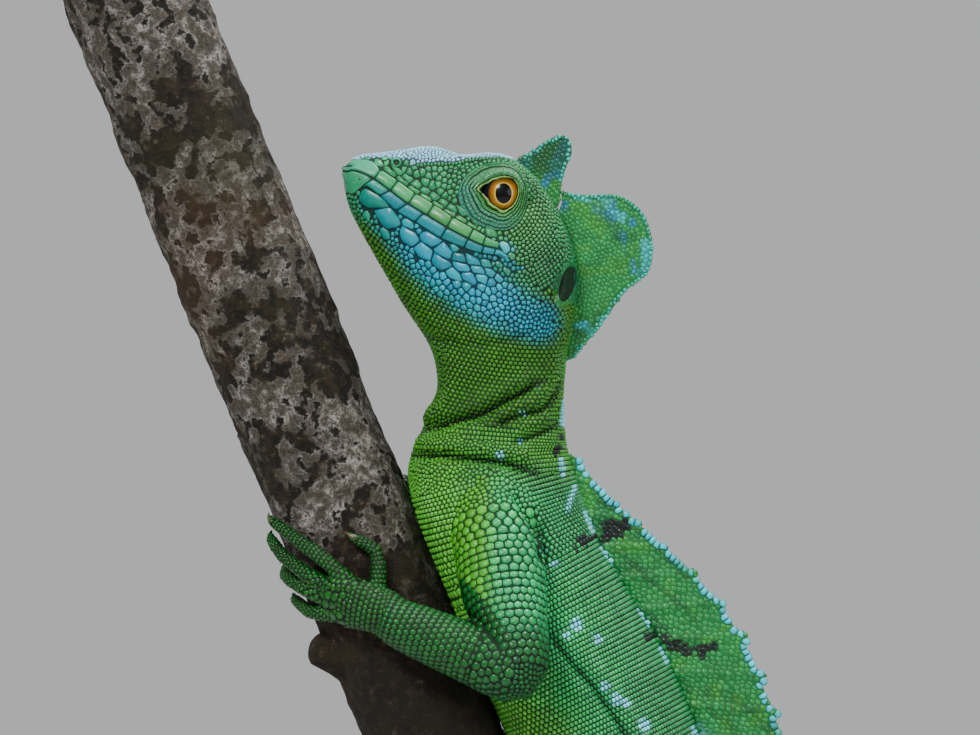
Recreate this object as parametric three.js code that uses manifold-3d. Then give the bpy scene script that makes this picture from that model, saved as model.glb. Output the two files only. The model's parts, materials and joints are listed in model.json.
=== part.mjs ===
// A green basilisk, life size, clinging to a leaning branch that a plain display stand holds up.
// Units are millimetres. +Z is up, the animal faces -X, and its left side faces -Y.
// The origin is the centre of the stand's underside.

import * as THREE from "three";
import { mergeVertices } from "three/addons/utils/BufferGeometryUtils.js";
import Module from "manifold-3d";

const wasm = await Module();
wasm.setup();

// Driving dimensions of the whole.
const GAP = 0.3; // the clearance that touching pieces keep
const DATUM_X = -15; // outlines are measured from a datum beside the neck: this is its place over the stand
const DATUM_Z = 468;
const LEFT = -1; // the sign of Y on the animal's left side
const RIGHT = 1;

// Driving dimensions of the perch and the stand.
const PERCH_RADIUS = 11.2;
const PERCH_TOP = [-60.9, 66];
const PERCH_END = [41.5, -185];
const GRIP_DATUM = [-18.3, -38.4]; // the point on the perch's axis that the grips are measured from
const BASE_LENGTH = 190;
const BASE_WIDTH = 130;
const BASE_HEIGHT = 12;
const BASE_CORNER = 16;
const BASE_BEVEL = 1.5;
const ROD_RADIUS = 3;
const ROD_PLACES = [19, 39.5];

// Driving dimensions of the animal.
const EYE_RADIUS = 4.3;
const EYE_PLACE = [2.1, 28.5];
const EYE_SPREAD = 5.5; // from the middle plane to the centre of each eyeball
const CREST_RAY_LEAN = THREE.MathUtils.degToRad(27);
const CREST_RAY_SPACING = 6;

const MATERIALS = {
  flesh: new THREE.MeshStandardMaterial({ color: 0x2f8f3a, roughness: 0.55, metalness: 0 }),
  crest: new THREE.MeshStandardMaterial({ color: 0x3f9a62, roughness: 0.6, metalness: 0 }),
  eye: new THREE.MeshStandardMaterial({ color: 0xd9962b, roughness: 0.1, metalness: 0 }),
  bark: new THREE.MeshStandardMaterial({ color: 0x6d5a49, roughness: 0.9, metalness: 0 }),
  board: new THREE.MeshStandardMaterial({ color: 0x33251c, roughness: 0.45, metalness: 0 }),
  steel: new THREE.MeshStandardMaterial({ color: 0xb9bcc0, roughness: 0.35, metalness: 1 }),
};

const group = new THREE.Group();

// A point given from the datum, across, sideways and up.
function place(x, y, z) {
  return new THREE.Vector3(DATUM_X + x, y, DATUM_Z + z);
}

// Sets a piece down in the group as its own named mesh.
function addPiece(name, solid, material) {
  const bodies = solid.decompose();
  const largest = bodies.reduce((a, b) => (b.volume() > a.volume() ? b : a));
  const mesh = largest.getMesh();
  const geometry = new THREE.BufferGeometry();
  const positions = new Float32Array(mesh.numVert * 3);
  for (let i = 0; i < mesh.numVert; i++) {
    const start = i * mesh.numProp;
    positions.set(mesh.vertProperties.subarray(start, start + 3), i * 3);
  }
  geometry.setAttribute("position", new THREE.BufferAttribute(positions, 3));
  geometry.setIndex(new THREE.BufferAttribute(mesh.triVerts, 1));
  geometry.computeVertexNormals();
  const piece = new THREE.Mesh(geometry, material);
  piece.name = name;
  group.add(piece);
}

// A closed geometry as a solid for joining and cutting.
function toSolid(geometry) {
  const bare = geometry.clone();
  for (const name of Object.keys(bare.attributes)) {
    if (name !== "position") bare.deleteAttribute(name);
  }
  const merged = mergeVertices(bare, 1e-4);
  return new wasm.Manifold(
    new wasm.Mesh({
      numProp: 3,
      vertProperties: new Float32Array(merged.attributes.position.array),
      triVerts: new Uint32Array(merged.index.array),
    }),
  );
}

// Points and triangles as a geometry whose faces point out.
function closedGeometry(points, triangles) {
  let volume = 0;
  for (let i = 0; i < triangles.length; i += 3) {
    const [a, b, c] = [0, 1, 2].map((k) => points[triangles[i + k]]);
    volume += a.dot(b.clone().cross(c));
  }
  if (volume < 0) triangles.reverse();
  const geometry = new THREE.BufferGeometry().setFromPoints(points);
  geometry.setIndex(triangles);
  return geometry;
}

// Joins rings of equal count into a closed skin, with a fan at each end.
function loft(rings) {
  const count = rings[0].length;
  const points = rings.flat();
  const triangles = [];
  for (let i = 0; i + 1 < rings.length; i++) {
    for (let j = 0; j < count; j++) {
      const a = i * count + j;
      const b = i * count + ((j + 1) % count);
      triangles.push(a, b, a + count, b, b + count, a + count);
    }
  }
  const ends = [0, (rings.length - 1) * count];
  ends.forEach((start, end) => {
    const middle = new THREE.Vector3();
    for (let j = 0; j < count; j++) middle.addScaledVector(points[start + j], 1 / count);
    const centre = points.push(middle) - 1;
    for (let j = 0; j < count; j++) {
      const a = start + j;
      const b = start + ((j + 1) % count);
      if (end === 0) triangles.push(centre, b, a);
      else triangles.push(centre, a, b);
    }
  });
  return closedGeometry(points, triangles);
}

// The value of a smooth curve through equally spaced rows of numbers.
function smoothRow(rows, at) {
  const last = rows.length - 1;
  const i = Math.min(Math.floor(at), last - 1);
  const t = at - i;
  const [p0, p1, p2, p3] = [i - 1, i, i + 1, i + 2].map((k) => rows[Math.min(Math.max(k, 0), last)]);
  return p1.map((_, k) => {
    const slope1 = (p2[k] - p0[k]) / 2;
    const slope2 = (p3[k] - p1[k]) / 2;
    const bend = 2 * (p1[k] - p2[k]) + slope1 + slope2;
    const turn = 3 * (p2[k] - p1[k]) - 2 * slope1 - slope2;
    return ((bend * t + turn) * t + slope1) * t + p1[k];
  });
}

// A tapering limb of round or oval section along a smooth path.
// Each stop is [point, radius on the wide side, radius on the thin side], and wide is the wide side's direction.
function limb(stops, sides, steps, wide = new THREE.Vector3(0, 0, 1)) {
  const curve = new THREE.CatmullRomCurve3(stops.map((stop) => stop[0]), false, "centripetal");
  const radii = stops.map((stop) => [stop[1], stop[2] ?? stop[1]]);
  const rings = [];
  for (let i = 0; i <= steps; i++) {
    const t = i / steps;
    const centre = curve.getPoint(t);
    const along = curve.getTangent(t);
    const across = wide.clone().addScaledVector(along, -wide.dot(along)).normalize();
    const through = along.clone().cross(across);
    const [a, b] = smoothRow(radii, t * (radii.length - 1));
    const ring = [];
    for (let j = 0; j < sides; j++) {
      const angle = (2 * Math.PI * j) / sides;
      const point = centre.clone().addScaledVector(across, a * Math.cos(angle));
      ring.push(point.addScaledVector(through, b * Math.sin(angle)));
    }
    rings.push(ring);
  }
  return toSolid(loft(rings));
}

// A thin upright fin between a root line and an edge line, alike on both faces.
function fin(root, edge, across, halfThickness) {
  const last = root.length - 1;
  const points = [];
  for (const side of [LEFT, RIGHT]) {
    for (let i = 0; i <= last; i++) {
      for (let j = 0; j <= across; j++) {
        const point = root[i].clone().lerp(edge[i], j / across);
        point.y += side * halfThickness(i, j / across);
        points.push(point);
      }
    }
  }
  const row = across + 1;
  const face = (last + 1) * row;
  const triangles = [];
  for (let i = 0; i < last; i++) {
    for (let j = 0; j < across; j++) {
      const [a, b, c, d] = [i * row + j, i * row + j + 1, (i + 1) * row + j, (i + 1) * row + j + 1];
      triangles.push(a, b, c, b, d, c);
      triangles.push(face + a, face + c, face + b, face + b, face + c, face + d);
    }
  }
  const border = [];
  for (let i = 0; i < last; i++) border.push(i * row);
  for (let j = 0; j < across; j++) border.push(last * row + j);
  for (let i = last; i > 0; i--) border.push(i * row + across);
  for (let j = across; j > 0; j--) border.push(j);
  border.forEach((a, k) => {
    const b = border[(k + 1) % border.length];
    triangles.push(a, b, face + a, b, face + b, face + a);
  });
  return toSolid(closedGeometry(points, triangles));
}

// Equally spaced points on a smooth line through [x, z] pairs in the middle plane.
function middleLine(pairs, count) {
  const curve = new THREE.CatmullRomCurve3(pairs.map(([x, z]) => place(x, 0, z)), false, "centripetal");
  return curve.getSpacedPoints(count);
}

// A cut across the body along the line from a belly point to a back point.
function bodyCut([bellyX, bellyZ], [backX, backZ]) {
  const line = new THREE.Vector2(backX - bellyX, backZ - bellyZ).normalize();
  const normal = new THREE.Vector3(line.y, 0, -line.x); // points towards the tail
  return { normal, offset: normal.dot(place(bellyX, 0, bellyZ)) };
}

// Keeps what lies on the tail's side of a cut, short of the gap.
function behind(solid, cut) {
  return solid.trimByPlane(cut.normal.toArray(), cut.offset + GAP / 2);
}

// Keeps what lies on the head's side of a cut, short of the gap.
function ahead(solid, cut) {
  return solid.trimByPlane(cut.normal.clone().negate().toArray(), -cut.offset + GAP / 2);
}

// The body's sections from snout to vent. Each row is throat or belly x and z, crown or back x and z,
// half width, sideways shift, height share of the widest place, and how square the upper and lower parts are.
const BODY_ROWS = [
  [-23.8, 31.3, -23.6, 32.9, 1.4, 0, 0.55, 2.0, 2.0],
  [-23.8, 29.9, -23.1, 33.9, 2.5, 0, 0.6, 2.2, 2.0],
  [-23.4, 27.6, -21.1, 34.9, 3.7, 0, 0.6, 2.4, 2.0],
  [-22.6, 25.3, -17.8, 35.3, 4.7, 0, 0.56, 2.6, 1.9],
  [-21.1, 22.4, -14.0, 35.8, 5.6, 0, 0.53, 2.7, 1.8],
  [-19.0, 18.6, -9.2, 36.4, 6.6, 0, 0.51, 2.7, 1.7],
  [-16.8, 14.8, -4.8, 34.9, 7.8, 0, 0.5, 2.8, 1.7],
  [-14.5, 10.8, -0.3, 35.3, 9.0, 0, 0.5, 2.9, 1.7],
  [-12.4, 7.7, 3.6, 34.5, 9.9, 0, 0.5, 2.8, 1.8],
  [-10.4, 4.7, 7.9, 30.8, 10.6, 0, 0.51, 2.5, 1.9],
  [-9.2, 2.1, 11.4, 25.6, 11.1, 0, 0.51, 2.2, 2.0],
  [-8.7, -0.2, 13.8, 19.2, 11.1, 0, 0.5, 2.0, 2.1],
  [-8.5, -2.2, 14.3, 12.8, 10.5, 0, 0.5, 2.0, 2.1],
  [-8.6, -4.0, 13.4, 7.0, 9.5, 0, 0.5, 2.0, 2.1],
  [-9.4, -5.7, 12.6, 2.1, 8.8, 0, 0.5, 2.0, 2.1],
  [-10.4, -7.7, 12.1, -2.9, 8.7, 0, 0.5, 2.0, 2.1],
  [-10.9, -10.0, 12.0, -7.3, 9.1, 0, 0.49, 1.9, 2.1],
  [-12.2, -12.5, 12.4, -12.0, 9.8, 0, 0.48, 1.8, 2.2],
  [-13.0, -14.9, 13.2, -15.6, 10.7, 0, 0.47, 1.8, 2.2],
  [-13.4, -18.2, 14.2, -18.1, 11.4, 0, 0.46, 1.7, 2.3],
  [-11.9, -25.2, 14.9, -20.5, 11.9, 0, 0.45, 1.7, 2.3],
  [-9.6, -30.9, 16.5, -25.3, 12.2, 0, 0.44, 1.7, 2.3],
  [-6.6, -38.0, 19.1, -30.9, 12.4, 0, 0.44, 1.7, 2.3],
  [-3.0, -46.6, 24.1, -39.2, 12.8, 0, 0.43, 1.7, 2.3],
  [1.2, -56.8, 29.4, -48.3, 13.3, 0, 0.42, 1.7, 2.3],
  [5.8, -68.1, 34.5, -60.3, 13.6, 0, 0.42, 1.7, 2.3],
  [11.0, -79.4, 39.0, -72.0, 13.3, 0, 0.42, 1.7, 2.3],
  [17.0, -91.5, 43.2, -84.6, 12.2, 0, 0.43, 1.8, 2.3],
  [22.8, -102.3, 46.6, -96.0, 10.6, 0, 0.45, 1.9, 2.2],
  [28.6, -112.2, 49.8, -106.6, 9.2, 0, 0.47, 1.9, 2.1],
  [34.6, -121.4, 52.8, -116.6, 7.9, 0, 0.48, 1.9, 2.1],
];

// The tail hangs past the perch's end and curls outwards above the stand: x, sideways, z, depth, half width.
const TAIL_LINE = [
  [49.6, 0, -136, 15.6, 6.2],
  [57, -1, -160, 12.6, 5.0],
  [66, -3, -197, 9.8, 4.0],
  [72, -6, -238, 7.8, 3.3],
  [75, -9, -285, 6.3, 2.7],
  [74, -11, -332, 5.2, 2.3],
  [76, -10, -378, 4.2, 1.9],
  [86, -7, -416, 3.3, 1.55],
  [106, -2, -440, 2.6, 1.25],
  [134, 3, -446, 1.9, 0.95],
  [158, 6, -436, 1.1, 0.55],
];

// A tail station as a body row, square to the line of the tail.
function tailRow(i) {
  const [x, y, z, depth, width] = TAIL_LINE[i];
  const before = TAIL_LINE[Math.max(i - 1, 0)];
  const after = TAIL_LINE[Math.min(i + 1, TAIL_LINE.length - 1)];
  const along = new THREE.Vector2(after[0] - before[0], after[2] - before[2]).normalize();
  const up = new THREE.Vector2(-along.y, along.x).multiplyScalar(depth / 2);
  return [x - up.x, z - up.y, x + up.x, z + up.y, width, y, 0.48, 1.9, 2.1];
}

const VENT = BODY_ROWS.length - 1;
const ALL_ROWS = [...BODY_ROWS, ...TAIL_LINE.map((_, i) => tailRow(i))];
const HEAD_STEPS = 2; // loft steps between rows
const TRUNK_STEPS = 2;
const TAIL_STEPS = 2;
const HEAD_ROWS = 15;
const BODY_HALF = 11; // sections have twice this many corners
const TAIL_HALF = 6;

// The closed outline of one section, from the throat up the left side to the crown and down the right.
function section(row, half, grow) {
  const [bellyX, bellyZ, backX, backZ, width, y, share, upperPower, lowerPower] = row;
  const belly = place(bellyX, y, bellyZ);
  const back = place(backX, y, backZ);
  const up = back.clone().sub(belly).normalize();
  belly.addScaledVector(up, -grow);
  back.addScaledVector(up, grow);
  const middle = belly.clone().lerp(back, share);
  const side = [];
  for (let i = 0; i <= half; i++) {
    const angle = Math.PI * (i / half - 0.5);
    const power = 2 / (angle < 0 ? lowerPower : upperPower);
    const rise = Math.abs(Math.sin(angle)) ** power;
    const reach = Math.max(Math.cos(angle), 0) ** power;
    const point = middle.clone().lerp(angle < 0 ? belly : back, rise);
    side.push([point, (width + grow) * reach]);
  }
  const leftSide = side.map(([p, reach]) => p.clone().setY(p.y + LEFT * reach));
  const rightSide = side.slice(1, -1).map(([p, reach]) => p.clone().setY(p.y + RIGHT * reach));
  return [...leftSide, ...rightSide.reverse()];
}

// The loft of the rows from first to last, with a number of steps that may differ from row to row.
function bodyLoft(first, last, half, steps, grow = 0) {
  const rings = [];
  for (let i = first; i < last; i++) {
    const count = steps(i);
    for (let k = 0; k < count; k++) rings.push(section(smoothRow(ALL_ROWS, i + k / count), half, grow));
  }
  rings.push(section(ALL_ROWS[last], half, grow));
  return loft(rings);
}

const trunkSteps = (i) => (i < HEAD_ROWS ? HEAD_STEPS : TRUNK_STEPS);
const trunkGeometry = bodyLoft(0, VENT + 1, BODY_HALF, trunkSteps);
const trunk = toSolid(trunkGeometry);
const tail = toSolid(bodyLoft(VENT - 1, ALL_ROWS.length - 1, TAIL_HALF, () => TAIL_STEPS));
const grownTrunk = toSolid(bodyLoft(0, VENT + 1, BODY_HALF, trunkSteps, GAP));

// The perch: a leaning length of branch with a short knob below the left hand.
function perchSolid(grow) {
  const [topX, topZ] = PERCH_TOP;
  const [endX, endZ] = PERCH_END;
  const swells = [0, 0.3, -0.1, 0.2, 0, -0.2, 0.1, 0.4, 0.2, 0];
  const along = new THREE.Vector3(topX - endX, 0, topZ - endZ).normalize();
  const stops = swells.map((swell, i) => {
    const centre = place(endX, 0, endZ).lerp(place(topX, 0, topZ), i / (swells.length - 1));
    return [centre, PERCH_RADIUS + swell + grow];
  });
  stops[0][0].addScaledVector(along, -grow);
  stops[stops.length - 1][0].addScaledVector(along, grow);
  const branch = limb(stops, 16, 14);
  const knobRadius = 2.7 + grow;
  const knob = limb(
    [
      [place(-22, -1, -48), knobRadius],
      [place(-25.5, -2.4, -47.2), knobRadius],
      [place(-28.4, -3.4, -46.4), knobRadius * 0.95],
      [place(-30.2 - grow, -4, -46), knobRadius * 0.45],
    ],
    8,
    5,
  );
  return branch.add(knob);
}

const perch = perchSolid(0);
const grownPerch = perchSolid(GAP);
addPiece("perch_branch", perch, MATERIALS.bark);

// The stand: a flat board and two rods that reach up to the perch.
function standBase() {
  const [x, y] = [BASE_LENGTH / 2 - BASE_BEVEL, BASE_WIDTH / 2 - BASE_BEVEL];
  const r = BASE_CORNER - BASE_BEVEL;
  const outline = new THREE.Shape();
  outline.moveTo(-x + r, -y);
  outline.lineTo(x - r, -y);
  outline.absarc(x - r, -y + r, r, -Math.PI / 2, 0, false);
  outline.absarc(x - r, y - r, r, 0, Math.PI / 2, false);
  outline.absarc(-x + r, y - r, r, Math.PI / 2, Math.PI, false);
  outline.absarc(-x + r, -y + r, r, Math.PI, 1.5 * Math.PI, false);
  const board = new THREE.ExtrudeGeometry(outline, {
    depth: BASE_HEIGHT - 2 * BASE_BEVEL,
    bevelSize: BASE_BEVEL,
    bevelThickness: BASE_BEVEL,
    bevelSegments: 1,
    curveSegments: 4,
  });
  board.translate(0, 0, BASE_BEVEL);
  return toSolid(board);
}

addPiece("stand_base", standBase(), MATERIALS.board);
ROD_PLACES.forEach((x, i) => {
  const foot = BASE_HEIGHT + GAP;
  const height = DATUM_Z + PERCH_END[1] + 40 - foot;
  const rod = new THREE.CylinderGeometry(ROD_RADIUS, ROD_RADIUS, height, 16);
  rod.rotateX(Math.PI / 2);
  rod.translate(DATUM_X + x, 0, foot + height / 2);
  const cut = toSolid(rod).subtract(grownPerch);
  const lowest = cut.decompose().reduce((a, b) => (b.boundingBox().min[2] < a.boundingBox().min[2] ? b : a));
  addPiece("stand_rod_" + (i + 1), lowest, MATERIALS.steel);
});

// Finds the skin of the head at a side-view place, looking in from one side.
const skinMesh = new THREE.Mesh(trunkGeometry, new THREE.MeshStandardMaterial({ side: THREE.DoubleSide }));
function skinAt(x, z, side) {
  const from = place(x, side * 60, z);
  const ray = new THREE.Raycaster(from, new THREE.Vector3(0, -side, 0));
  const hit = ray.intersectObject(skinMesh)[0];
  if (!hit) throw new Error("no skin at " + x + ", " + z);
  return { point: hit.point, out: hit.face.normal.clone() };
}

// Cuts that part the body from snout to tail.
const THROAT_CUT = bodyCut([-10.9, -10.3], [12.6, 3.6]);
const SHOULDER_CUT = bodyCut([-13.0, -14.6], [14.4, -18.2]);
const VENT_CUT = bodyCut([33.2, -119.3], [52.1, -114.2]);

// The mouth's line, from the tip of the snout to its corner.
const MOUTH_LINE = [
  [-22.6, 32.4],
  [-19.5, 31.1],
  [-16.7, 29.1],
  [-13.9, 27.1],
  [-10.9, 25.2],
  [-7.3, 23.3],
  [-3.6, 21.2],
  [-0.2, 19.9],
  [2.4, 18.9],
  [4.1, 17.2],
];
const SNOUT_FRONT = [-23.95, 32.4];

// Stations along the mouth from the left corner round the snout to the right corner.
function mouthStations() {
  const oneSide = (side) =>
    MOUTH_LINE.map(([x, z], i) => {
      const [nextX, nextZ] = MOUTH_LINE[Math.min(i + 1, MOUTH_LINE.length - 1)];
      const [lastX, lastZ] = MOUTH_LINE[Math.max(i - 1, 0)];
      const along = new THREE.Vector2(nextX - lastX, nextZ - lastZ).normalize();
      return { ...skinAt(x, z, side), up: new THREE.Vector3(-along.y, 0, along.x) };
    });
  const front = {
    point: place(SNOUT_FRONT[0], 0, SNOUT_FRONT[1]),
    out: new THREE.Vector3(-1, 0, 0),
    up: new THREE.Vector3(0, 0, 1),
  };
  return [...oneSide(LEFT).reverse(), front, ...oneSide(RIGHT)];
}

// The lips: a low band along the mouth, which the groove then parts into an upper and a lower lip.
const LIP_HALF_HEIGHT = 2.3;
const LIP_RISE = 0.45;
function lips() {
  const rings = mouthStations().map(({ point, out, up }, i, all) => {
    const atCorner = i === 0 || i === all.length - 1;
    const atSnout = Math.abs(i - (all.length - 1) / 2) < 2;
    const size = atCorner || atSnout ? 0.45 : 1;
    return [
      [LIP_HALF_HEIGHT, -0.5],
      [LIP_HALF_HEIGHT * 0.5, LIP_RISE],
      [-LIP_HALF_HEIGHT * 0.5, LIP_RISE],
      [-LIP_HALF_HEIGHT, -0.5],
    ].map(([high, rise]) => point.clone().addScaledVector(up, high * size).addScaledVector(out, rise));
  });
  return toSolid(loft(rings));
}

// The groove between the lips.
function mouthGroove(halfHeight, depth) {
  const rings = mouthStations().map(({ point, out, up }) => [
    point.clone().addScaledVector(out, 1).addScaledVector(up, halfHeight * 2),
    point.clone().addScaledVector(out, -depth),
    point.clone().addScaledVector(out, 1).addScaledVector(up, -halfHeight * 2),
  ]);
  return toSolid(loft(rings));
}

// The brow: a ridge from the nostril over the eye and down behind it, as side-view places and heights.
const BROW_LINE = [
  [-16.6, 34.3, 0.5],
  [-12.8, 34.2, 0.7],
  [-8.6, 34.0, 0.8],
  [-4.6, 34.0, 0.95],
  [-0.6, 34.0, 1.15],
  [3.0, 33.3, 1.2],
  [6.0, 31.2, 1.05],
  [7.8, 28.3, 0.8],
  [8.6, 25.4, 0.45],
];

function brow(side) {
  const stops = BROW_LINE.map(([x, z, radius]) => {
    const { point, out } = skinAt(x, z, side);
    return [point.addScaledVector(out, -0.35 * radius), radius];
  });
  return limb(stops, 5, 12);
}

// An ellipsoid that is turned in the side view, for pits and swellings.
function blob(centre, radii, lean = 0, detail = [10, 6]) {
  const ball = new THREE.SphereGeometry(1, detail[0], detail[1]);
  ball.rotateX(Math.PI / 2);
  ball.scale(...radii);
  ball.rotateY(lean);
  ball.translate(centre.x, centre.y, centre.z);
  return toSolid(ball);
}

// The lids: a mound round the eyeball that opens in an almond over it.
const LID_THICKNESS = 0.6;
const LID_OPENING = [4.1, 3.45]; // half the length and half the height of the cut, well in front of the eye
const SOCKET_RADIUS = EYE_RADIUS + GAP + 0.08;

function eyeCentre(side) {
  return place(EYE_PLACE[0], side * EYE_SPREAD, EYE_PLACE[1]);
}

function lidMound(side) {
  const radius = SOCKET_RADIUS + LID_THICKNESS;
  return blob(eyeCentre(side), [radius, radius, radius], 0, [14, 8]);
}

function eyeSocket(side) {
  const [long, high] = LID_OPENING;
  const front = eyeCentre(side).add(new THREE.Vector3(-0.2, side * (EYE_RADIUS + 1.4), 0));
  const opening = blob(front, [long, 5, high], 0, [14, 8]);
  return blob(eyeCentre(side), [SOCKET_RADIUS, SOCKET_RADIUS, SOCKET_RADIUS], 0, [14, 10]).add(opening);
}

const NOSTRIL = [-15.5, 33.3];
const EAR = [12.4, 14.0];
const EAR_LEAN = THREE.MathUtils.degToRad(20);

function buildHead() {
  let head = ahead(trunk, THROAT_CUT);
  head = head.add(lips());
  for (const side of [LEFT, RIGHT]) {
    head = head.add(brow(side));
    head = head.add(lidMound(side));
    const nose = skinAt(...NOSTRIL, side);
    head = head.add(blob(nose.point.clone().addScaledVector(nose.out, -0.4), [1.2, 0.9, 0.9]));
  }
  head = head.subtract(mouthGroove(0.2, 0.75));
  for (const side of [LEFT, RIGHT]) {
    const nose = skinAt(...NOSTRIL, side);
    head = head.subtract(blob(nose.point.clone().addScaledVector(nose.out, 0.4), [0.45, 0.9, 0.45], 0, [8, 4]));
    const ear = skinAt(EAR[0] - 0.9, EAR[1], side);
    head = head.subtract(blob(ear.point.clone().addScaledVector(ear.out, 0.25), [1.25, 1.5, 3.2], EAR_LEAN, [12, 8]));
    head = head.subtract(eyeSocket(side));
  }
  return head;
}

const head = buildHead();
addPiece("head", head, MATERIALS.flesh);
for (const [name, side] of [["eye_left", LEFT], ["eye_right", RIGHT]]) {
  const ball = blob(eyeCentre(side), [EYE_RADIUS, EYE_RADIUS, EYE_RADIUS], 0, [14, 8]);
  addPiece(name, ball, MATERIALS.eye);
}

// A point of the body's back line by its row, as far over the skin as touching pieces keep.
function backPoint(at) {
  const [bellyX, bellyZ, backX, backZ, , y] = smoothRow(ALL_ROWS, at);
  const point = place(backX, y, backZ);
  const up = point.clone().sub(place(bellyX, y, bellyZ)).normalize();
  return point.addScaledVector(up, GAP);
}

// The head's two-lobed crest, upright in the middle plane. Each lobe grows from a stretch of the crown's line.
const FRONT_LOBE_ROWS = [8.05, 10.2];
const FRONT_LOBE_EDGE = [
  [4.4, 34.6],
  [6.6, 35.6],
  [8.2, 36.7],
  [10.2, 37.9],
  [11.7, 38.5],
  [12.9, 38.0],
  [13.5, 36.5],
  [13.4, 34.9],
  [12.5, 33.2],
  [11.5, 31.4],
  [11.2, 29.6],
];
const REAR_LOBE_ROWS = [10.26, 14.6];
const REAR_LOBE_EDGE = [
  [11.7, 29.2],
  [14.0, 28.6],
  [17.2, 28.5],
  [19.8, 28.6],
  [22.1, 28.1],
  [24.1, 26.8],
  [25.6, 25.0],
  [26.4, 22.7],
  [26.9, 19.7],
  [26.6, 17.1],
  [25.7, 15.1],
  [23.8, 13.9],
  [21.4, 11.5],
  [19.8, 9.0],
  [17.5, 5.9],
  [15.3, 3.4],
  [13.5, 1.2],
  [12.9, -0.8],
];

// Half the thickness of a head lobe, thick at the root and thin at its edge, with faint ribs.
function lobeThickness(i, share) {
  const rib = i % 3 === 1 ? 0.28 : 0;
  return 0.6 - 0.3 * share + rib * (1 - share) * share;
}

function headLobe([firstRow, lastRow], edge, count) {
  const root = [];
  for (let i = 0; i <= count; i++) root.push(backPoint(firstRow + ((lastRow - firstRow) * i) / count));
  return fin(root, middleLine(edge, count), 4, lobeThickness);
}

addPiece("crest_head_front", headLobe(FRONT_LOBE_ROWS, FRONT_LOBE_EDGE, 12), MATERIALS.crest);
addPiece("crest_head_rear", headLobe(REAR_LOBE_ROWS, REAR_LOBE_EDGE, 24), MATERIALS.crest);

// Neck and torso. The belly lies on the perch, and gives way to it.
const torso = ahead(behind(trunk, SHOULDER_CUT), VENT_CUT).subtract(grownPerch);
addPiece("neck", ahead(behind(trunk, THROAT_CUT), SHOULDER_CUT), MATERIALS.flesh);
addPiece("torso", torso, MATERIALS.flesh);

// The tail in four lengths, parted square to its line.
function tailCut(i) {
  const [bellyX, bellyZ, backX, backZ] = tailRow(i);
  return bodyCut([bellyX, bellyZ], [backX, backZ]);
}

const TAIL_CUTS = [VENT_CUT, tailCut(2), tailCut(4), tailCut(7)];
TAIL_CUTS.forEach((cut, i) => {
  const start = behind(tail, cut);
  const next = TAIL_CUTS[i + 1];
  addPiece("tail_" + (i + 1), next ? ahead(start, next) : start, MATERIALS.flesh);
});

// A crest of rays and membrane along the back line. Heights are [row, length of the ray there].
// Each ray is a ridge with a thin membrane to the next, and the edge dips between the rays' tips.
const RAY_STATIONS = [0, 0.2, 0.8]; // the ray itself, and the feet of its ridge and the next one's
function rayCrest(heights) {
  const first = heights[0][0];
  const last = heights[heights.length - 1][0];
  const samples = 12 * Math.ceil(last - first);
  const line = [];
  for (let i = 0; i <= samples; i++) line.push(backPoint(first + ((last - first) * i) / samples));
  const reached = [0];
  for (let i = 1; i <= samples; i++) reached.push(reached[i - 1] + line[i].distanceTo(line[i - 1]));
  const rays = Math.round(reached[samples] / CREST_RAY_SPACING);
  const root = [];
  const edge = [];
  for (let ray = 0; ray <= rays; ray++) {
    for (const share of ray < rays ? RAY_STATIONS : [0]) {
      const target = ((ray + share) / rays) * reached[samples];
      const k = Math.max(reached.findIndex((length) => length >= target), 1);
      const t = (target - reached[k - 1]) / (reached[k] - reached[k - 1]);
      const point = line[k - 1].clone().lerp(line[k], t);
      const along = line[Math.min(k + 2, samples)].clone().sub(line[Math.max(k - 3, 0)]).normalize();
      const out = new THREE.Vector3(-along.z, 0, along.x).normalize();
      const lean = out.multiplyScalar(Math.cos(CREST_RAY_LEAN)).addScaledVector(along, Math.sin(CREST_RAY_LEAN));
      const row = first + ((last - first) * (k - 1 + t)) / samples;
      root.push(point);
      edge.push(point.clone().addScaledVector(lean, rayHeight(heights, row) * (share === 0 ? 1 : 0.9)));
    }
  }
  const thickness = (i, share) => 0.52 - 0.25 * share + (i % RAY_STATIONS.length === 0 ? 0.3 * (1 - 0.5 * share) : 0);
  return fin(root, edge, 2, thickness);
}

// The length of a ray at a row of the body, between the lengths that are given.
function rayHeight(heights, row) {
  const k = Math.min(Math.max(heights.findIndex(([at]) => at >= row), 1), heights.length - 1);
  const [[rowA, heightA], [rowB, heightB]] = [heights[k - 1], heights[k]];
  return heightA + ((heightB - heightA) * (row - rowA)) / (rowB - rowA);
}

const BACK_CREST = [
  [17.2, 0.5],
  [19, 2.4],
  [20, 5.2],
  [21, 8.6],
  [22, 11.2],
  [23, 14.0],
  [24, 15.2],
  [25, 15.2],
  [26, 14.6],
  [27, 13.4],
  [28, 11.0],
  [29, 7.6],
  [29.6, 4.4],
];
addPiece("crest_back", rayCrest(BACK_CREST), MATERIALS.crest);

// The tail's crest follows the tail's back, in the lengths of the tail that it grows from.
const TAIL_CREST = [
  [30.3, 3.4],
  [31, 6.4],
  [32, 9.2],
  [33, 8.2],
  [34, 5.8],
  [35, 3.2],
  [36, 0.6],
];
const tailCrest = rayCrest(TAIL_CREST);
addPiece("crest_tail_1", ahead(tailCrest, TAIL_CUTS[1]), MATERIALS.crest);
addPiece("crest_tail_2", ahead(behind(tailCrest, TAIL_CUTS[1]), TAIL_CUTS[2]), MATERIALS.crest);
addPiece("crest_tail_3", behind(tailCrest, TAIL_CUTS[2]), MATERIALS.crest);

// The claw that a digit ends in: how far past the last joint, how far towards the bark, and its share of the radius.
const CLAW_SHAPE = [
  [0.8, -0.1, 0.8],
  [1.7, 0.1, 0.45],
  [2.9, 0.6, 0.14],
];

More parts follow.
